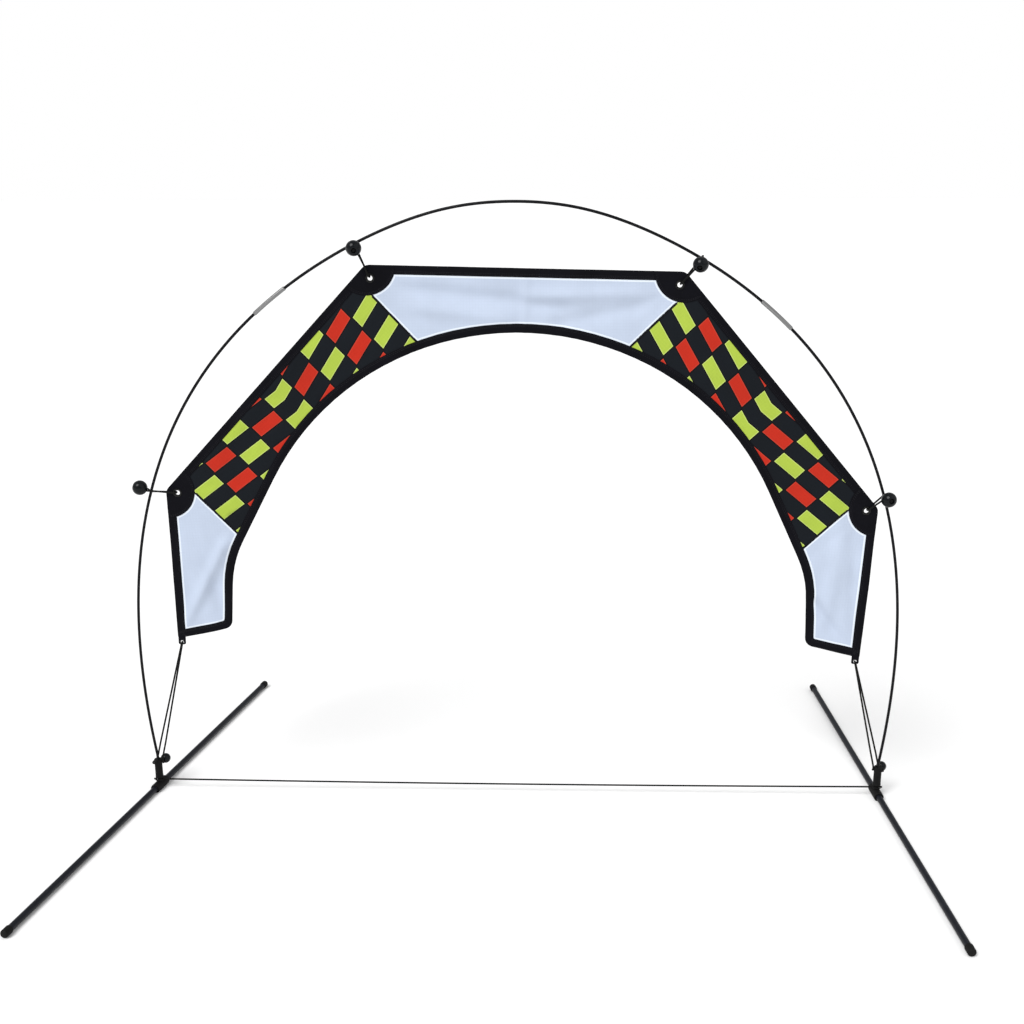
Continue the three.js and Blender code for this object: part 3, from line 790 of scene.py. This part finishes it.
def make_ground_cord():
    reach = BASE_X - LOOP_RADIUS - CORD_RADIUS - GAP
    points = []
    for i in range(37):
        t = i / 18 - 1
        points.append(Vector((CENTRE_X + reach * t, 0, CORD_HEIGHT - CORD_SAG * (1 - t * t))))
    path = smooth_path(points, 5)
    cord = tube("ground_cord_visual", path, CORD_RADIUS, MATERIALS["cord"], 12)
    place(cord, "gate", "elastic_cord", "ground_cord")
    length = sum((b - a).length for a, b in zip(path, path[1:])) * MM
    for side, sign in SIDES:
        centre = Vector((CENTRE_X + sign * BASE_X, 0, CORD_HEIGHT))
        ring = [centre + Vector((math.cos(a), math.sin(a), 0)) * LOOP_RADIUS
                for a in (2 * math.pi * i / 48 for i in range(49))]
        knot = knot_parts(centre + Vector((sign * (LOOP_RADIUS + 2.3), 0, 0)), (0, 1, 0),
                          2.5, 0.95)
        round_neck = tube_parts(ring, CORD_RADIUS, 12, None, (False, False))
        loop = build_parts(f"{side}_cord_loop_visual", join_parts(round_neck, knot),
                           MATERIALS["cord"])
        place(weld(loop), "gate", "elastic_cord", f"{side}_cord_loop")


make_ground_cord()


# ------------------------------------------------------------------ fabric
def on_sail(x, z):
    """From the fabric's own square drawing to the gate, where it hangs slightly tilted."""
    c, s = math.cos(SAIL_TILT), math.sin(SAIL_TILT)
    rise = z - SAIL_PIVOT
    return (CENTRE_X + SAIL_SHIFT + x * c + rise * s, SAIL_PIVOT - x * s + rise * c)


STILL_POINTS = [
    on_sail(sign * x, z) for _, sign in SIDES for x, z in (TOP_EYELET, SIDE_EYELET, TAB_EYE)
]


# Long soft folds of the slack fabric: start, end, height towards the front and half width.
FOLDS = (
    ((-575, 505), (-660, 330), 8.0, 11),
    ((-595, 430), (-580, 350), -5.0, 13),
    ((575, 425), (650, 330), -7.0, 9),
    ((615, 560), (600, 410), 5.0, 15),
    ((640, 570), (655, 350), -4.0, 12),
    ((-210, 1010), (60, 985), -5.0, 14),
    ((-190, 975), (-40, 960), 4.0, 13),
    ((215, 1012), (20, 1000), 5.0, 12),
    ((200, 985), (70, 955), -4.0, 14),
    ((3, 1040), (3, 930), 1.6, 6),
    ((-420, 880), (-560, 720), 2.5, 16),
    ((430, 870), (560, 700), 2.5, 16),
)
FOLD_LINES = [(on_sail(*a), on_sail(*b), rise, width) for a, b, rise, width in FOLDS]


def fold(x, z):
    """Height of the folds at a spot, towards the front."""
    total = 0.0
    for (ax, az), (bx, bz), rise, width in FOLD_LINES:
        dx, dz = bx - ax, bz - az
        length = math.hypot(dx, dz)
        along = ((x - ax) * dx + (z - az) * dz) / length**2
        across = ((x - ax) * dz - (z - az) * dx) / length
        beyond = max(0.0, -along, along - 1) * length
        total += rise * math.exp(-((across / width) ** 2) - (beyond / (2 * width)) ** 2)
    return total


def billow(x, z):
    """How far the fabric stands back from its flat plane, in mm: slack waves between the
    corners that pull on it, long folds, and pleats that run out from each eyelet."""
    hold = 1.0
    pleats = 0.0
    for px, pz in STILL_POINTS:
        distance = math.hypot(x - px, z - pz)
        hold *= 1 - math.exp(-((distance / 70) ** 2))
        angle = math.atan2(z - pz, x - px)
        pleats += math.sin(angle * 17 + px) * math.exp(-distance / 75) * 1.1
    spot = Vector((x * 0.004, z * 0.004, 3.1))
    slow = noise.noise(spot) * 7
    quick = noise.noise(Vector((x * 0.021, z * 0.012, 8.7))) * 1.9
    ripple = noise.noise(Vector((x * 0.05, z * 0.02, 1.3))) * 0.6
    return hold * (slow + quick + ripple + pleats - fold(x, z))


def front_loops(node):
    """The closed outlines, in mm, of the front face of a flat CAD node."""
    mesh = frame["nodes"][node].data
    spots = [(round(v.co.x / MM, 2), round(v.co.z / MM, 2)) for v in mesh.vertices]
    edges = {}
    seen = set()
    for face in mesh.polygons:
        if face.normal.y < -0.9:
            keys = [spots[i] for i in face.vertices]
            seen.update(zip(keys, keys[1:] + keys[:1]))
    for a, b in seen:
        if (b, a) not in seen and a != b:
            edges[a] = b
    loops = []
    while edges:
        start, spot = edges.popitem()
        loop = [start]
        while spot != start:
            loop.append(spot)
            spot = edges.pop(spot)
        loops.append(np.array(loop))
    loops.sort(key=lambda loop: -np.ptp(loop[:, 0]) * np.ptp(loop[:, 1]))
    return loops


def subdivide(loop, step):
    out = []
    for a, b in zip(loop, np.roll(loop, -1, axis=0)):
        count = max(1, math.ceil(np.hypot(*(b - a)) / step))
        out += [a + (b - a) * i / count for i in range(count)]
    return np.array(out)


def inset(loop, distance):
    """Moves a counter-clockwise outline inwards, or outwards for a negative distance."""
    before = loop - np.roll(loop, 1, axis=0)
    after = np.roll(loop, -1, axis=0) - loop
    before /= np.linalg.norm(before, axis=1)[:, None]
    after /= np.linalg.norm(after, axis=1)[:, None]
    n1 = np.stack([-before[:, 1], before[:, 0]], 1)
    n2 = np.stack([-after[:, 1], after[:, 0]], 1)
    total = n1 + n2
    scale = np.maximum(0.35, (total * total).sum(1) / 2)
    return loop + total / scale[:, None] * distance


def signed_area(loop):
    x, z = loop[:, 0], loop[:, 1]
    return 0.5 * float(np.sum(x * np.roll(z, -1) - np.roll(x, -1) * z))


def counter_clockwise(loop):
    return loop if signed_area(loop) > 0 else loop[::-1]


def edge_distance(points, loop):
    """Distance of each point from a closed outline."""
    best = np.full(len(points), 1e9)
    for a, b in zip(loop, np.roll(loop, -1, axis=0)):
        d = b - a
        t = np.clip(((points - a) @ d) / max(d @ d, 1e-9), 0, 1)
        best = np.minimum(best, np.hypot(*(points - a - t[:, None] * d).T))
    return best


def flat_piece(name, node, materials, half, spacing, edge=0.6, grow=0.0, marks=(), turn=0.0,
               slot_of=None):
    """A soft flat piece on the outline of a CAD node, with rounded edges, following the
    fabric's billow. marks are closed outlines that split its faces; slot_of picks the
    material index from the list of marks that a face lies in."""
    loops = [counter_clockwise(loop) for loop in front_loops(node)]
    outer = subdivide(inset(loops[0], -grow) if grow else loops[0], spacing)
    holes = [subdivide(loop, spacing) for loop in loops[1:]]
    verts, edges, faces = [], [], []

    def add_loop(points, as_face):
        base = len(verts)
        verts.extend(Vector(p) for p in points)
        ids = list(range(base, base + len(points)))
        if as_face:
            faces.append(ids)
        else:
            edges.extend(zip(ids, ids[1:] + ids[:1]))

    add_loop(outer, True)
    for hole in holes:
        add_loop(hole, True)
    for mark in marks:
        add_loop(mark, True)
    for depth in (edge * 0.3, edge):
        add_loop(inset(outer, depth), False)
        for hole in holes:
            add_loop(inset(hole, -depth), False)
    low, high = outer.min(0), outer.max(0)
    xs = np.arange(low[0], high[0], spacing)
    zs = np.arange(low[1], high[1], spacing * 0.87)
    grid = np.array([(x + (j % 2) * spacing / 2, z) for j, z in enumerate(zs) for x in xs])
    clear = edge_distance(grid, outer) > edge + spacing * 0.4
    for hole in holes:
        clear &= edge_distance(grid, hole) > edge + spacing * 0.4
    verts.extend(Vector(p) for p in grid[clear])
    made = delaunay_2d_cdt(verts, edges, faces, 0, 1e-4, True)
    spots, triangles, owners = np.array([tuple(v) for v in made[0]]), made[2], made[5]
    hole_ids = set(range(1, 1 + len(holes)))
    kept, slots = [], []
    for triangle, owner in zip(triangles, owners):
        if 0 in owner and not hole_ids & set(owner):
            a, b, c = (spots[i] for i in triangle)
            turned = (b[0] - a[0]) * (c[1] - a[1]) - (b[1] - a[1]) * (c[0] - a[0])
            kept.append(list(triangle) if turned > 0 else list(triangle)[::-1])
            inside = [i - 1 - len(holes) for i in owner if i > len(holes)]
            slots.append(slot_of(inside) if slot_of else 0)
    used = sorted({i for triangle in kept for i in triangle})
    index = {old: new for new, old in enumerate(used)}
    spots = spots[used]
    kept = [[index[i] for i in triangle] for triangle in kept]
    depth = edge_distance(spots, outer)
    for hole in holes:
        depth = np.minimum(depth, edge_distance(spots, hole))
    reach = 1 - np.clip(depth / edge, 0, 1)
    thick = half * (0.3 + 0.7 * np.sqrt(1 - reach**2))
    middle = np.array([billow(x, z) for x, z in spots])
    count = len(spots)
    front = np.column_stack([spots[:, 0], middle - thick, spots[:, 1]])
    back = np.column_stack([spots[:, 0], middle + thick, spots[:, 1]])
    directed = {}
    for triangle in kept:
        for a, b in zip(triangle, triangle[1:] + triangle[:1]):
            directed[(a, b)] = True
    rim = [(a, b) for a, b in directed if (b, a) not in directed]
    all_faces = [list(t) for t in kept]
    all_faces += [[i + count for i in t[::-1]] for t in kept]
    all_faces += [[b, a, a + count, b + count] for a, b in rim]
    all_slots = slots + slots + [slot_of([]) if slot_of else 0] * len(rim)
    c, s = math.cos(turn), math.sin(turn)
    flat = spots * MM
    uvs = np.column_stack([flat[:, 0] * c + flat[:, 1] * s, flat[:, 1] * c - flat[:, 0] * s])
    return build(name, np.vstack([front, back]), all_faces, materials,
                 np.vstack([uvs, uvs]), all_slots)


def flat_area(thing):
    """Area of one face of a thin piece, in square metres."""
    return sum(face.area for face in thing.data.polygons) / 2


# The chequered print, in the panel's own directions: "down" runs from the upper seam to the
# lower one, and "across" runs along the seams, from the arch towards the outer edge.
ROW_PITCH = (UPPER_SEAM - LOWER_SEAM) / math.sqrt(2) / 9
COLUMN_PITCH = 27.3
FIRST_COLUMN = 891.5 + 0.24 * 29       # across, on the upper seam
BEND_DOWN = 4.5 * ROW_PITCH
UPPER_DRIFT, LOWER_DRIFT = -0.24, 0.12


def check_spot(down, column, sign):
    """Where a column's line stands at a distance down the panel, on the gate."""
    across = FIRST_COLUMN + column * COLUMN_PITCH + UPPER_DRIFT * min(down, BEND_DOWN)
    across += LOWER_DRIFT * max(0, down - BEND_DOWN)
    level = UPPER_SEAM - down * math.sqrt(2)
    x = (across * math.sqrt(2) - level) / 2
    return np.array(on_sail(sign * x, x + level))


def check_cells(sign):
    """(outline, row) of every coloured cell, each outline with its bend where it has one."""
    cells = []
    for row in range(9):
        for column in range(-5, 4):
            if (row + column) % 2:
                continue
            for side_inset, end_inset in ((-0.3, -0.3), (1.7, 2.2), (3.0, 3.5)):
                top = row * ROW_PITCH + end_inset
                bottom = (row + 1) * ROW_PITCH - end_inset
                downs = [top, *([BEND_DOWN] if top < BEND_DOWN < bottom else []), bottom]
                half = 0.5 - side_inset / COLUMN_PITCH
                loop = [check_spot(d, column + half, sign) for d in downs]
                loop += [check_spot(d, column - half, sign) for d in reversed(downs)]
                loop = np.array(loop)
                cells.append((counter_clockwise(loop), row))
    return cells


def make_panels():
    sheets = []
    white_turns = {"centre_panel": 0.0, "left_leg_panel": 0.05, "right_leg_panel": -0.05}
    for node, turn in white_turns.items():
        loop = subdivide(counter_clockwise(front_loops(node)[0]), 6)
        cloth = flat_piece(f"{node}_cloth", node,
                           [MATERIALS[m] for m in ("white_edge", "white")],
                           PANEL_HALF, spacing=6, edge=0.3, grow=PANEL_TUCK,
                           marks=[inset(loop, PALE_RIM)], turn=turn, slot_of=len)
        place(cloth, "gate", "white_fabric", node)
        sheets.append((cloth, node))
    for side, sign in SIDES:
        node = f"{side}_check_panel"
        cells = check_cells(sign)

        def slot_of(inside, cells=cells):
            levels = {i % 3: 2 * (i % 3) + cells[i][1] % 2 for i in inside}
            return 0 if not levels else max(1, levels[max(levels)])

        cloth = flat_piece(f"{node}_cloth", node,
                           [MATERIALS[m] for m in ("charcoal", "line", "lime_rim", "red_rim",
                                                    "lime", "red")],
                           PANEL_HALF, spacing=7, edge=0.3, grow=PANEL_TUCK,
                           marks=[loop for loop, _ in cells], turn=sign * math.pi / 4,
                           slot_of=slot_of)
        place(cloth, "gate", "check_fabric", node)
        sheets.append((cloth, node))
    # These flat sizes are from an early outline and up to 10 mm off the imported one. The area
    # is the finished mesh's own, so the table's area_share is 1 by construction.
    sizes = {"centre": (0.546, 0.123), "check": (0.516, 0.135), "leg": (0.112, 0.272)}
    for cloth, node in sheets:
        size = next(v for key, v in sizes.items() if key in node)
        area = flat_area(cloth)


def make_bindings():
    turns = {"top": 0.0, "arch": 0.3, "side": 0.83, "leg": 1.55, "foot": 0.33}
    names = ["top_binding", "arch_binding"]
    names += [f"{side}_{part}_binding" for side, _ in SIDES for part in ("side", "leg", "foot")]
    for node in names:
        part = node.split("_")[-2]
        sense = -1 if node.startswith("right") else 1
        tape = flat_piece(f"{node}_tape", node, MATERIALS["tape"], TAPE_HALF, spacing=5,
                          edge=0.9, grow=TAPE_GROW, turn=turns[part] * sense)
        place(tape, "gate", "binding_tape", node)
    for side, _ in SIDES:
        for part in ("top", "side"):
            node = f"{side}_{part}_patch"
            patch = flat_piece(f"{node}_cloth", node, MATERIALS["tape"], PATCH_HALF,
                               spacing=4, edge=0.9, grow=TAPE_GROW, turn=0.6)
            place(patch, "gate", "binding_tape", node)
        tab = flat_piece(f"{side}_tab_webbing", f"{side}_tab", MATERIALS["tape"], TAB_HALF,
                         spacing=2, edge=0.8, grow=TAPE_GROW)
        place(tab, "gate", "binding_tape", f"{side}_tab")


def rounded_outline(corners):
    """The fabric's outline, each corner (x, z, radius) rounded, in its own drawing."""
    out = []
    for i, (x, z, radius) in enumerate(corners):
        corner = np.array((x, z), float)
        before, after = (
            np.array(corners[(i + step) % len(corners)][:2]) - corner for step in (-1, 1)
        )
        before /= np.hypot(*before)
        after /= np.hypot(*after)
        half = math.acos(float(before @ after)) / 2
        centre = (before + after) / np.hypot(*(before + after)) * radius / math.sin(half)
        start = before * radius / math.tan(half) - centre
        end = after * radius / math.tan(half) - centre
        sweep = math.atan2(start[0] * end[1] - start[1] * end[0], start @ end)
        count = max(3, math.ceil(abs(sweep) * radius / 4))
        for k in range(count + 1):
            c, s = math.cos(sweep * k / count), math.sin(sweep * k / count)
            spoke = np.array((start[0] * c - start[1] * s, start[0] * s + start[1] * c))
            out.append(corner + centre + spoke)
    return np.array(out)


def fabric_outline():
    half = [(*KNEE, KNEE_RADIUS), (*LEG_INNER_CORNER, 20), (*LEG_CORNER, 3), (*SIDE_CORNER, 18),
            (*TOP_CORNER, 18)]
    corners = [(0, ARCH_APEX, ARCH_RADIUS), *half, *[(-x, z, r) for x, z, r in reversed(half)]]
    loop = rounded_outline(corners)
    return counter_clockwise(loop)


def stitch_parts(a, b, width=0.34):
    """One stitch: a short spindle of thread from a to b."""
    a, b = Vector(a), Vector(b)
    along = (b - a).normalized()
    sideways = along.cross(FRONT).normalized()
    verts = [a]
    for t in (0.2, 0.8):
        centre = a.lerp(b, t)
        verts += [centre + sideways * width, centre + FRONT * width, centre - sideways * width,
                  centre - FRONT * width]
    verts.append(b)
    faces = [[0, 2, 1], [0, 3, 2], [0, 4, 3], [0, 1, 4]]
    faces += [[1 + k, 1 + (k + 1) % 4, 5 + (k + 1) % 4, 5 + k] for k in range(4)]
    faces += [[9, 5 + k, 5 + (k + 1) % 4] for k in range(4)]
    uvs = [(0.0, 0.0)] * len(verts)
    return verts, faces, uvs


def stitch_line(path, height, pitch=4.2, length=3.1):
    """Stitches on both faces of the fabric, along a path in its own drawing."""
    path = np.array(path)
    steps = np.hypot(*np.diff(path, axis=0).T)
    along = np.concatenate(([0], np.cumsum(steps)))
    groups = []
    for i in range(int(along[-1] // pitch)):
        ends = []
        for s in (i * pitch + 0.4, i * pitch + 0.4 + length):
            x, z = (np.interp(s, along, path[:, k]) for k in (0, 1))
            ends.append(on_sail(x, z))
        for face in (-1, 1):
            spots = [Vector((x, billow(x, z) + face * height, z)) for x, z in ends]
            groups.append(stitch_parts(*spots))
    return groups


def make_stitching():
    """Hem stitching inside the bindings' inner edge, and arcs round the patches."""
    groups = []
    outline = subdivide(fabric_outline(), 4)
    centres = [(sign * x, z) for _, sign in SIDES for x, z in (TOP_CORNER, SIDE_CORNER)]
    for depth in (HEM_WIDTH - 2.6, HEM_WIDTH - 5.2):
        line = inset(outline, depth)
        away = np.min([np.hypot(*(line - np.array(c)).T) for c in centres], axis=0)
        runs, run = [], []
        for spot, clear in zip(line, away > PATCH_RADIUS + 2):
            if clear:
                run.append(spot)
            elif run:
                runs.append(run)
                run = []
        if run:
            runs[0:1] = [run + runs[0]]
        for run in runs:
            if len(run) > 2:
                groups += stitch_line(run, 1.1)
    whole = fabric_outline()
    for x, z in centres:
        for radius in (PATCH_RADIUS - 2.6, PATCH_RADIUS - 5):
            ring = []
            for i in range(121):
                angle = 2 * math.pi * i / 120
                ring.append((x + radius * math.cos(angle), z + radius * math.sin(angle)))
            ring = np.array(ring)
            inside = inside_outline(ring, whole) & (edge_distance(ring, whole) > 4)
            start = int(np.argmax(~inside))
            order = [(start + k) % 120 for k in range(120)]
            arc = [ring[k] for k in order if inside[k]]
            if len(arc) > 2:
                groups += stitch_line(arc, 1.25)
    stitches = build_parts("hem_stitching", join_parts(*groups), MATERIALS["thread"])
    place(stitches, "gate", "binding_tape")


def inside_outline(points, loop):
    """Which points lie inside a closed outline."""
    x, z = points[:, 0], points[:, 1]
    inside = np.zeros(len(points), bool)
    for (x1, z1), (x2, z2) in zip(loop, np.roll(loop, -1, axis=0)):
        crosses = (z1 > z) != (z2 > z)
        at = x1 + (z - z1) * (x2 - x1) / (z2 - z1 if z2 != z1 else 1e-9)
        inside ^= crosses & (x < at)
    return inside


def seam_line(rise, sign):
    """A panel seam from the arch binding to the corner patch, in the drawing."""
    whole = fabric_outline()
    line = np.array([(sign * x, x + rise) for x in np.arange(60, 760, 1.0)])
    corner = TOP_CORNER if rise == UPPER_SEAM else SIDE_CORNER
    away = np.hypot(*(line - np.array((sign * corner[0], corner[1]))).T)
    good = inside_outline(line, whole) & (edge_distance(line, whole) > HEM_WIDTH - 1)
    return line[good & (away > PATCH_RADIUS - 1)]


def make_seams():
    """A folded seam over each join between panels, with its two rows of stitches."""
    stitches = []
    for side, sign in SIDES:
        for label, rise in (("upper", UPPER_SEAM), ("lower", LOWER_SEAM)):
            line = seam_line(rise, sign)
            toward = 1 if label == "lower" else -1
            white_side = np.array((sign * 1.0, -1.0)) / math.sqrt(2) * toward
            verts, faces, uvs = [], [], []
            profile = [(-2.0, 0.0), (-1.9, 0.42), (-0.2, 0.5), (1.9, 0.42), (2.0, 0.0)]
            ring = profile + [(w, -h) for w, h in reversed(profile[1:-1])]
            for i, spot in enumerate(line[::3]):
                for width, rise_off in ring:
                    # the fold lies over the chequered cloth's side of the join
                    x, z = on_sail(*(spot - white_side * (width + 1.7)))
                    verts.append(Vector((x, billow(x, z) - rise_off, z)))
                    uvs.append((width * MM, i * 3 * MM))
            size = len(ring)
            rows = len(verts) // size
            for j in range(rows - 1):
                for k in range(size):
                    p, q = j * size + k, j * size + (k + 1) % size
                    faces.append([p, q, q + size, p + size])
            faces.append(list(range(size)))
            faces.append([(rows - 1) * size + k for k in range(size)][::-1])
            strip = build(f"{side}_{label}_seam", verts, faces, MATERIALS["line"], uvs)
            place(face_out(strip), "gate", "binding_tape")
            stitches += stitch_line(line - white_side * 2.4, 0.62, 3.4, 2.5)
            stitches += stitch_line(line - white_side * 0.4, 0.62, 3.4, 2.5)
    rows = build_parts("seam_stitching", join_parts(*stitches), MATERIALS["thread"])
    place(rows, "gate", "binding_tape")


def make_eyelets():
    inner, barrel, flange, top, lip = 4.6, 5.6, 8.5, 2.2, 1.55
    half = [(barrel, 0), (barrel, lip - 0.1), (barrel + 0.6, lip), (flange - 0.25, lip),
            (flange, lip + 0.12), (flange - 0.2, lip + 0.4), (flange - 1.1, top - 0.03),
            (inner + 1.2, top), (inner + 0.35, top - 0.25), (inner, top - 0.9), (inner, 0)]
    profile = half + [(r, -h) for r, h in reversed(half)][1:-1]
    for side, sign in SIDES:
        for part, (x, z) in (("top", TOP_EYELET), ("side", SIDE_EYELET)):
            px, pz = on_sail(sign * x, z)
            ring = build_parts(f"{side}_{part}_eyelet_visual",
                               lathe_parts(profile, (px, 0, pz), FRONT), MATERIALS["eyelet"])
            place(face_out(ring), "gate", "eyelet_plastic", f"{side}_{part}_eyelet")


# ------------------------------------------------------------------ elastics and balls
def beside(post, radius, angle, along):
    """A spot beside a post, at an angle from its outward direction towards the front."""
    turn = math.radians(angle)
    return (post["centre"] + post["outward"] * (radius * math.cos(turn))
            + FRONT * (radius * math.sin(turn)) + post["axis"] * along)


def strand(post, ball, along, leave, lift):
    """Route of one strand: (points in the ball's bore, points from there round the post)."""
    wrap = post["radius"] + GAP + ELASTIC_RADIUS
    bend = 2.6
    direction = 1 if leave > ball["angle"] else -1
    seat = ball["seat"] + ball["radius"] - ball["recess"]
    bore = [beside(post, r, ball["angle"], along)
            for r in (seat, (seat + wrap + bend) / 2, wrap + bend)]
    turn = math.degrees(bend / wrap)
    around = [beside(post, wrap + bend * 0.29, ball["angle"] + direction * turn * 0.29, along)]
    start = ball["angle"] + direction * turn
    left = (leave - start) * direction
    count = math.ceil(left / 30) if left > 0 else 0
    for i in range(count + 1):
        angle = start + (leave - start) * i / count if count else start
        rise = lift * max(0, (i - count + 2) / 2) ** 2
        around.append(beside(post, wrap, angle, along + rise))
    return bore, around


def make_elastic(name, post, ball, hole, turn_profile, leaves, lift, run_points):
    """The loop itself rides on the gate; its two ends inside the ball are built as a separate
    mesh.
    """
    front_bore, front = strand(post, ball, STRAND_OFFSET, leaves[0], lift)
    back_bore, back = strand(post, ball, -STRAND_OFFSET, leaves[1], lift)
    towards = post["centre"] - hole
    towards = Vector((towards.x, 0, towards.z)).normalized()
    turn = [hole + towards * reach + FRONT * out for reach, out in turn_profile]

    def run(a, b):
        return [a.lerp(b, i / run_points) for i in range(1, run_points)]

    points = [*front_bore[1:], *front, *run(front[-1], turn[0]), *turn,
              *run(turn[-1], back[-1]), *reversed(back), *reversed(back_bore[1:])]
    path = smooth_path(points, 1.2)
    loop = tube(f"{name}_elastic_loop", path, ELASTIC_RADIUS, MATERIALS["elastic"], 12)
    place(loop, "gate", "elastic_cord", f"{name}_elastic")
    ends = []
    for outer, _, inner in (front_bore, back_bore):
        line = [inner.lerp(outer, i / 12) for i in range(13)]
        ends.append(tube_parts(line, ELASTIC_RADIUS * 0.985, 12))
    tails = weld(build_parts(f"{name}_elastic_ends", join_parts(*ends), MATERIALS["elastic"]))
    start = beside(post, post["radius"] + 4.5, ball["angle"], 0)
    end = beside(post, ball["seat"] + 4, ball["angle"], 0)
    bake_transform(tails)


def ball_profile(radius, recess):
    """A bead with a rounded bore, and a wider recess for the knot at its far end."""
    floor = radius - recess
    lip = math.sqrt(radius**2 - BALL_RECESS**2)
    base = -math.sqrt(radius**2 - BALL_BORE**2)
    profile = [(BALL_BORE, base + 0.5), (BALL_BORE, floor), (BALL_RECESS, floor),
               (BALL_RECESS, lip - 0.5)]
    top = math.asin((lip - 0.05) / radius) - 0.05
    bottom = math.asin((base + 0.02) / radius) + 0.05
    for i in range(33):
        angle = top + (bottom - top) * i / 32
        profile.append((radius * math.cos(angle), radius * math.sin(angle)))
    return profile


def make_ball(name, post, ball):
    axis = Vector(JOINTS[f"{name}_pull"]["axis"])
    low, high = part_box(f"{name}_ball")
    centre = post["centre"] + axis * ball["seat"]
    if (centre * MM - (low + high) / 2).length > 0.002:
        print("ball off its CAD place:", name, centre * MM, (low + high) / 2)
    profile = ball_profile(ball["radius"], ball["recess"])
    bead = build_parts(f"{name}_ball_visual", lathe_parts(profile, centre, axis, 64),
                       MATERIALS["ball"])
    place(face_out(bead), f"{name}_toggle", "ball_plastic", f"{name}_ball")
    spot = centre + axis * (ball["radius"] - ball["recess"] + GAP + 2.9)
    knot = weld(build_parts(f"{name}_knot_visual", knot_parts(spot, axis, 3.6, 1.35),
                            MATERIALS["elastic"]))
    place(knot, f"{name}_toggle", "elastic_cord", f"{name}_knot")


def make_suspension():
    for name, sign, distance, angle, leave, hole in CORNER_BALLS:
        centre = hoop_point(distance)
        axis = (hoop_point(distance + 1) - hoop_point(distance - 1)).normalized()
        post = {"centre": centre, "axis": axis, "outward": FRONT.cross(axis).normalized(),
                "radius": ROD_RADIUS}
        ball = {"angle": angle, "seat": BALL_SEAT, "radius": BALL_RADIUS,
                "recess": RECESS_DEPTH}
        x, z = on_sail(sign * hole[0], hole[1])
        make_elastic(name, post, ball, Vector((x, 0, z)), EYELET_TURN, (leave, -95), 0, 3)
        make_ball(name, post, ball)
    for name, sign, angle in BASE_BALLS:
        post = {"centre": Vector((CENTRE_X + sign * BASE_X, 0, BASE_LOOP_HEIGHT)), "axis": UP,
                "outward": Vector((sign, 0, 0)), "radius": SOCKET_RADIUS}
        ball = {"angle": angle, "seat": BASE_BALL_SEAT, "radius": BASE_BALL_RADIUS,
                "recess": RECESS_DEPTH - 1}
        x, z = on_sail(sign * TAB_EYE[0], TAB_EYE[1])
        make_elastic(name, post, ball, Vector((x, 0, z)), TAB_TURN, (95, -190), 9, 6)
        make_ball(name, post, ball)


make_hoop()
make_feet()
make_panels()
make_bindings()
make_stitching()
make_seams()
make_eyelets()
make_suspension()


# ------------------------------------------------------------------ room
def floor_material():
    g = Graph("studio_floor")
    tone = g.noise(g.place(), 260, 2)
    colour = g.ramp(tone, [(0.3, grey(0.895)), (0.7, grey(0.905))])
    return g.finish(Base_Color=colour, Roughness=0.9, Specular_IOR_Level=0.1)


FLOOR_REACH = 60000
FLOOR_LEVEL = -0.3
DOME_LIGHT = 0.55        # the plain white room around, as a light


def make_room():
    corners = [(x * FLOOR_REACH, y * FLOOR_REACH, FLOOR_LEVEL)
               for x, y in ((-1, -1), (1, -1), (1, 1), (-1, 1))]
    floor = build("floor", corners, [[0, 1, 2, 3]], floor_material())
    world = bpy.data.worlds.new("studio")
    bpy.context.scene.world = world
    world.use_nodes = True
    tree = world.node_tree
    background = tree.nodes["Background"]
    seen = tree.nodes.new("ShaderNodeLightPath").outputs["Is Camera Ray"]
    strength = tree.nodes.new("ShaderNodeMath")
    strength.operation = "MULTIPLY_ADD"
    tree.links.new(seen, strength.inputs[0])
    strength.inputs[1].default_value = 1 - DOME_LIGHT
    strength.inputs[2].default_value = DOME_LIGHT
    background.inputs["Color"].default_value = (1.0, 1.0, 1.0, 1.0)
    tree.links.new(strength.outputs[0], background.inputs["Strength"])
    for name, turn, height, spread, power in (
        ("key", -38, 50, 35, 2.6),
        ("fill", 60, 35, 60, 0.35),
    ):
        data = bpy.data.lights.new(name, "SUN")
        data.angle = math.radians(spread)
        data.energy = power
        lamp = bpy.data.objects.new(name, data)
        flat = Vector((math.sin(math.radians(turn)), -math.cos(math.radians(turn)), 0))
        rise = math.radians(height)
        towards = flat * math.cos(rise) + UP * math.sin(rise)
        lamp.rotation_euler = (-towards).to_track_quat("-Z", "Y").to_euler()
        bpy.context.scene.collection.objects.link(lamp)
    bpy.context.scene.view_settings.view_transform = "Standard"


make_room()
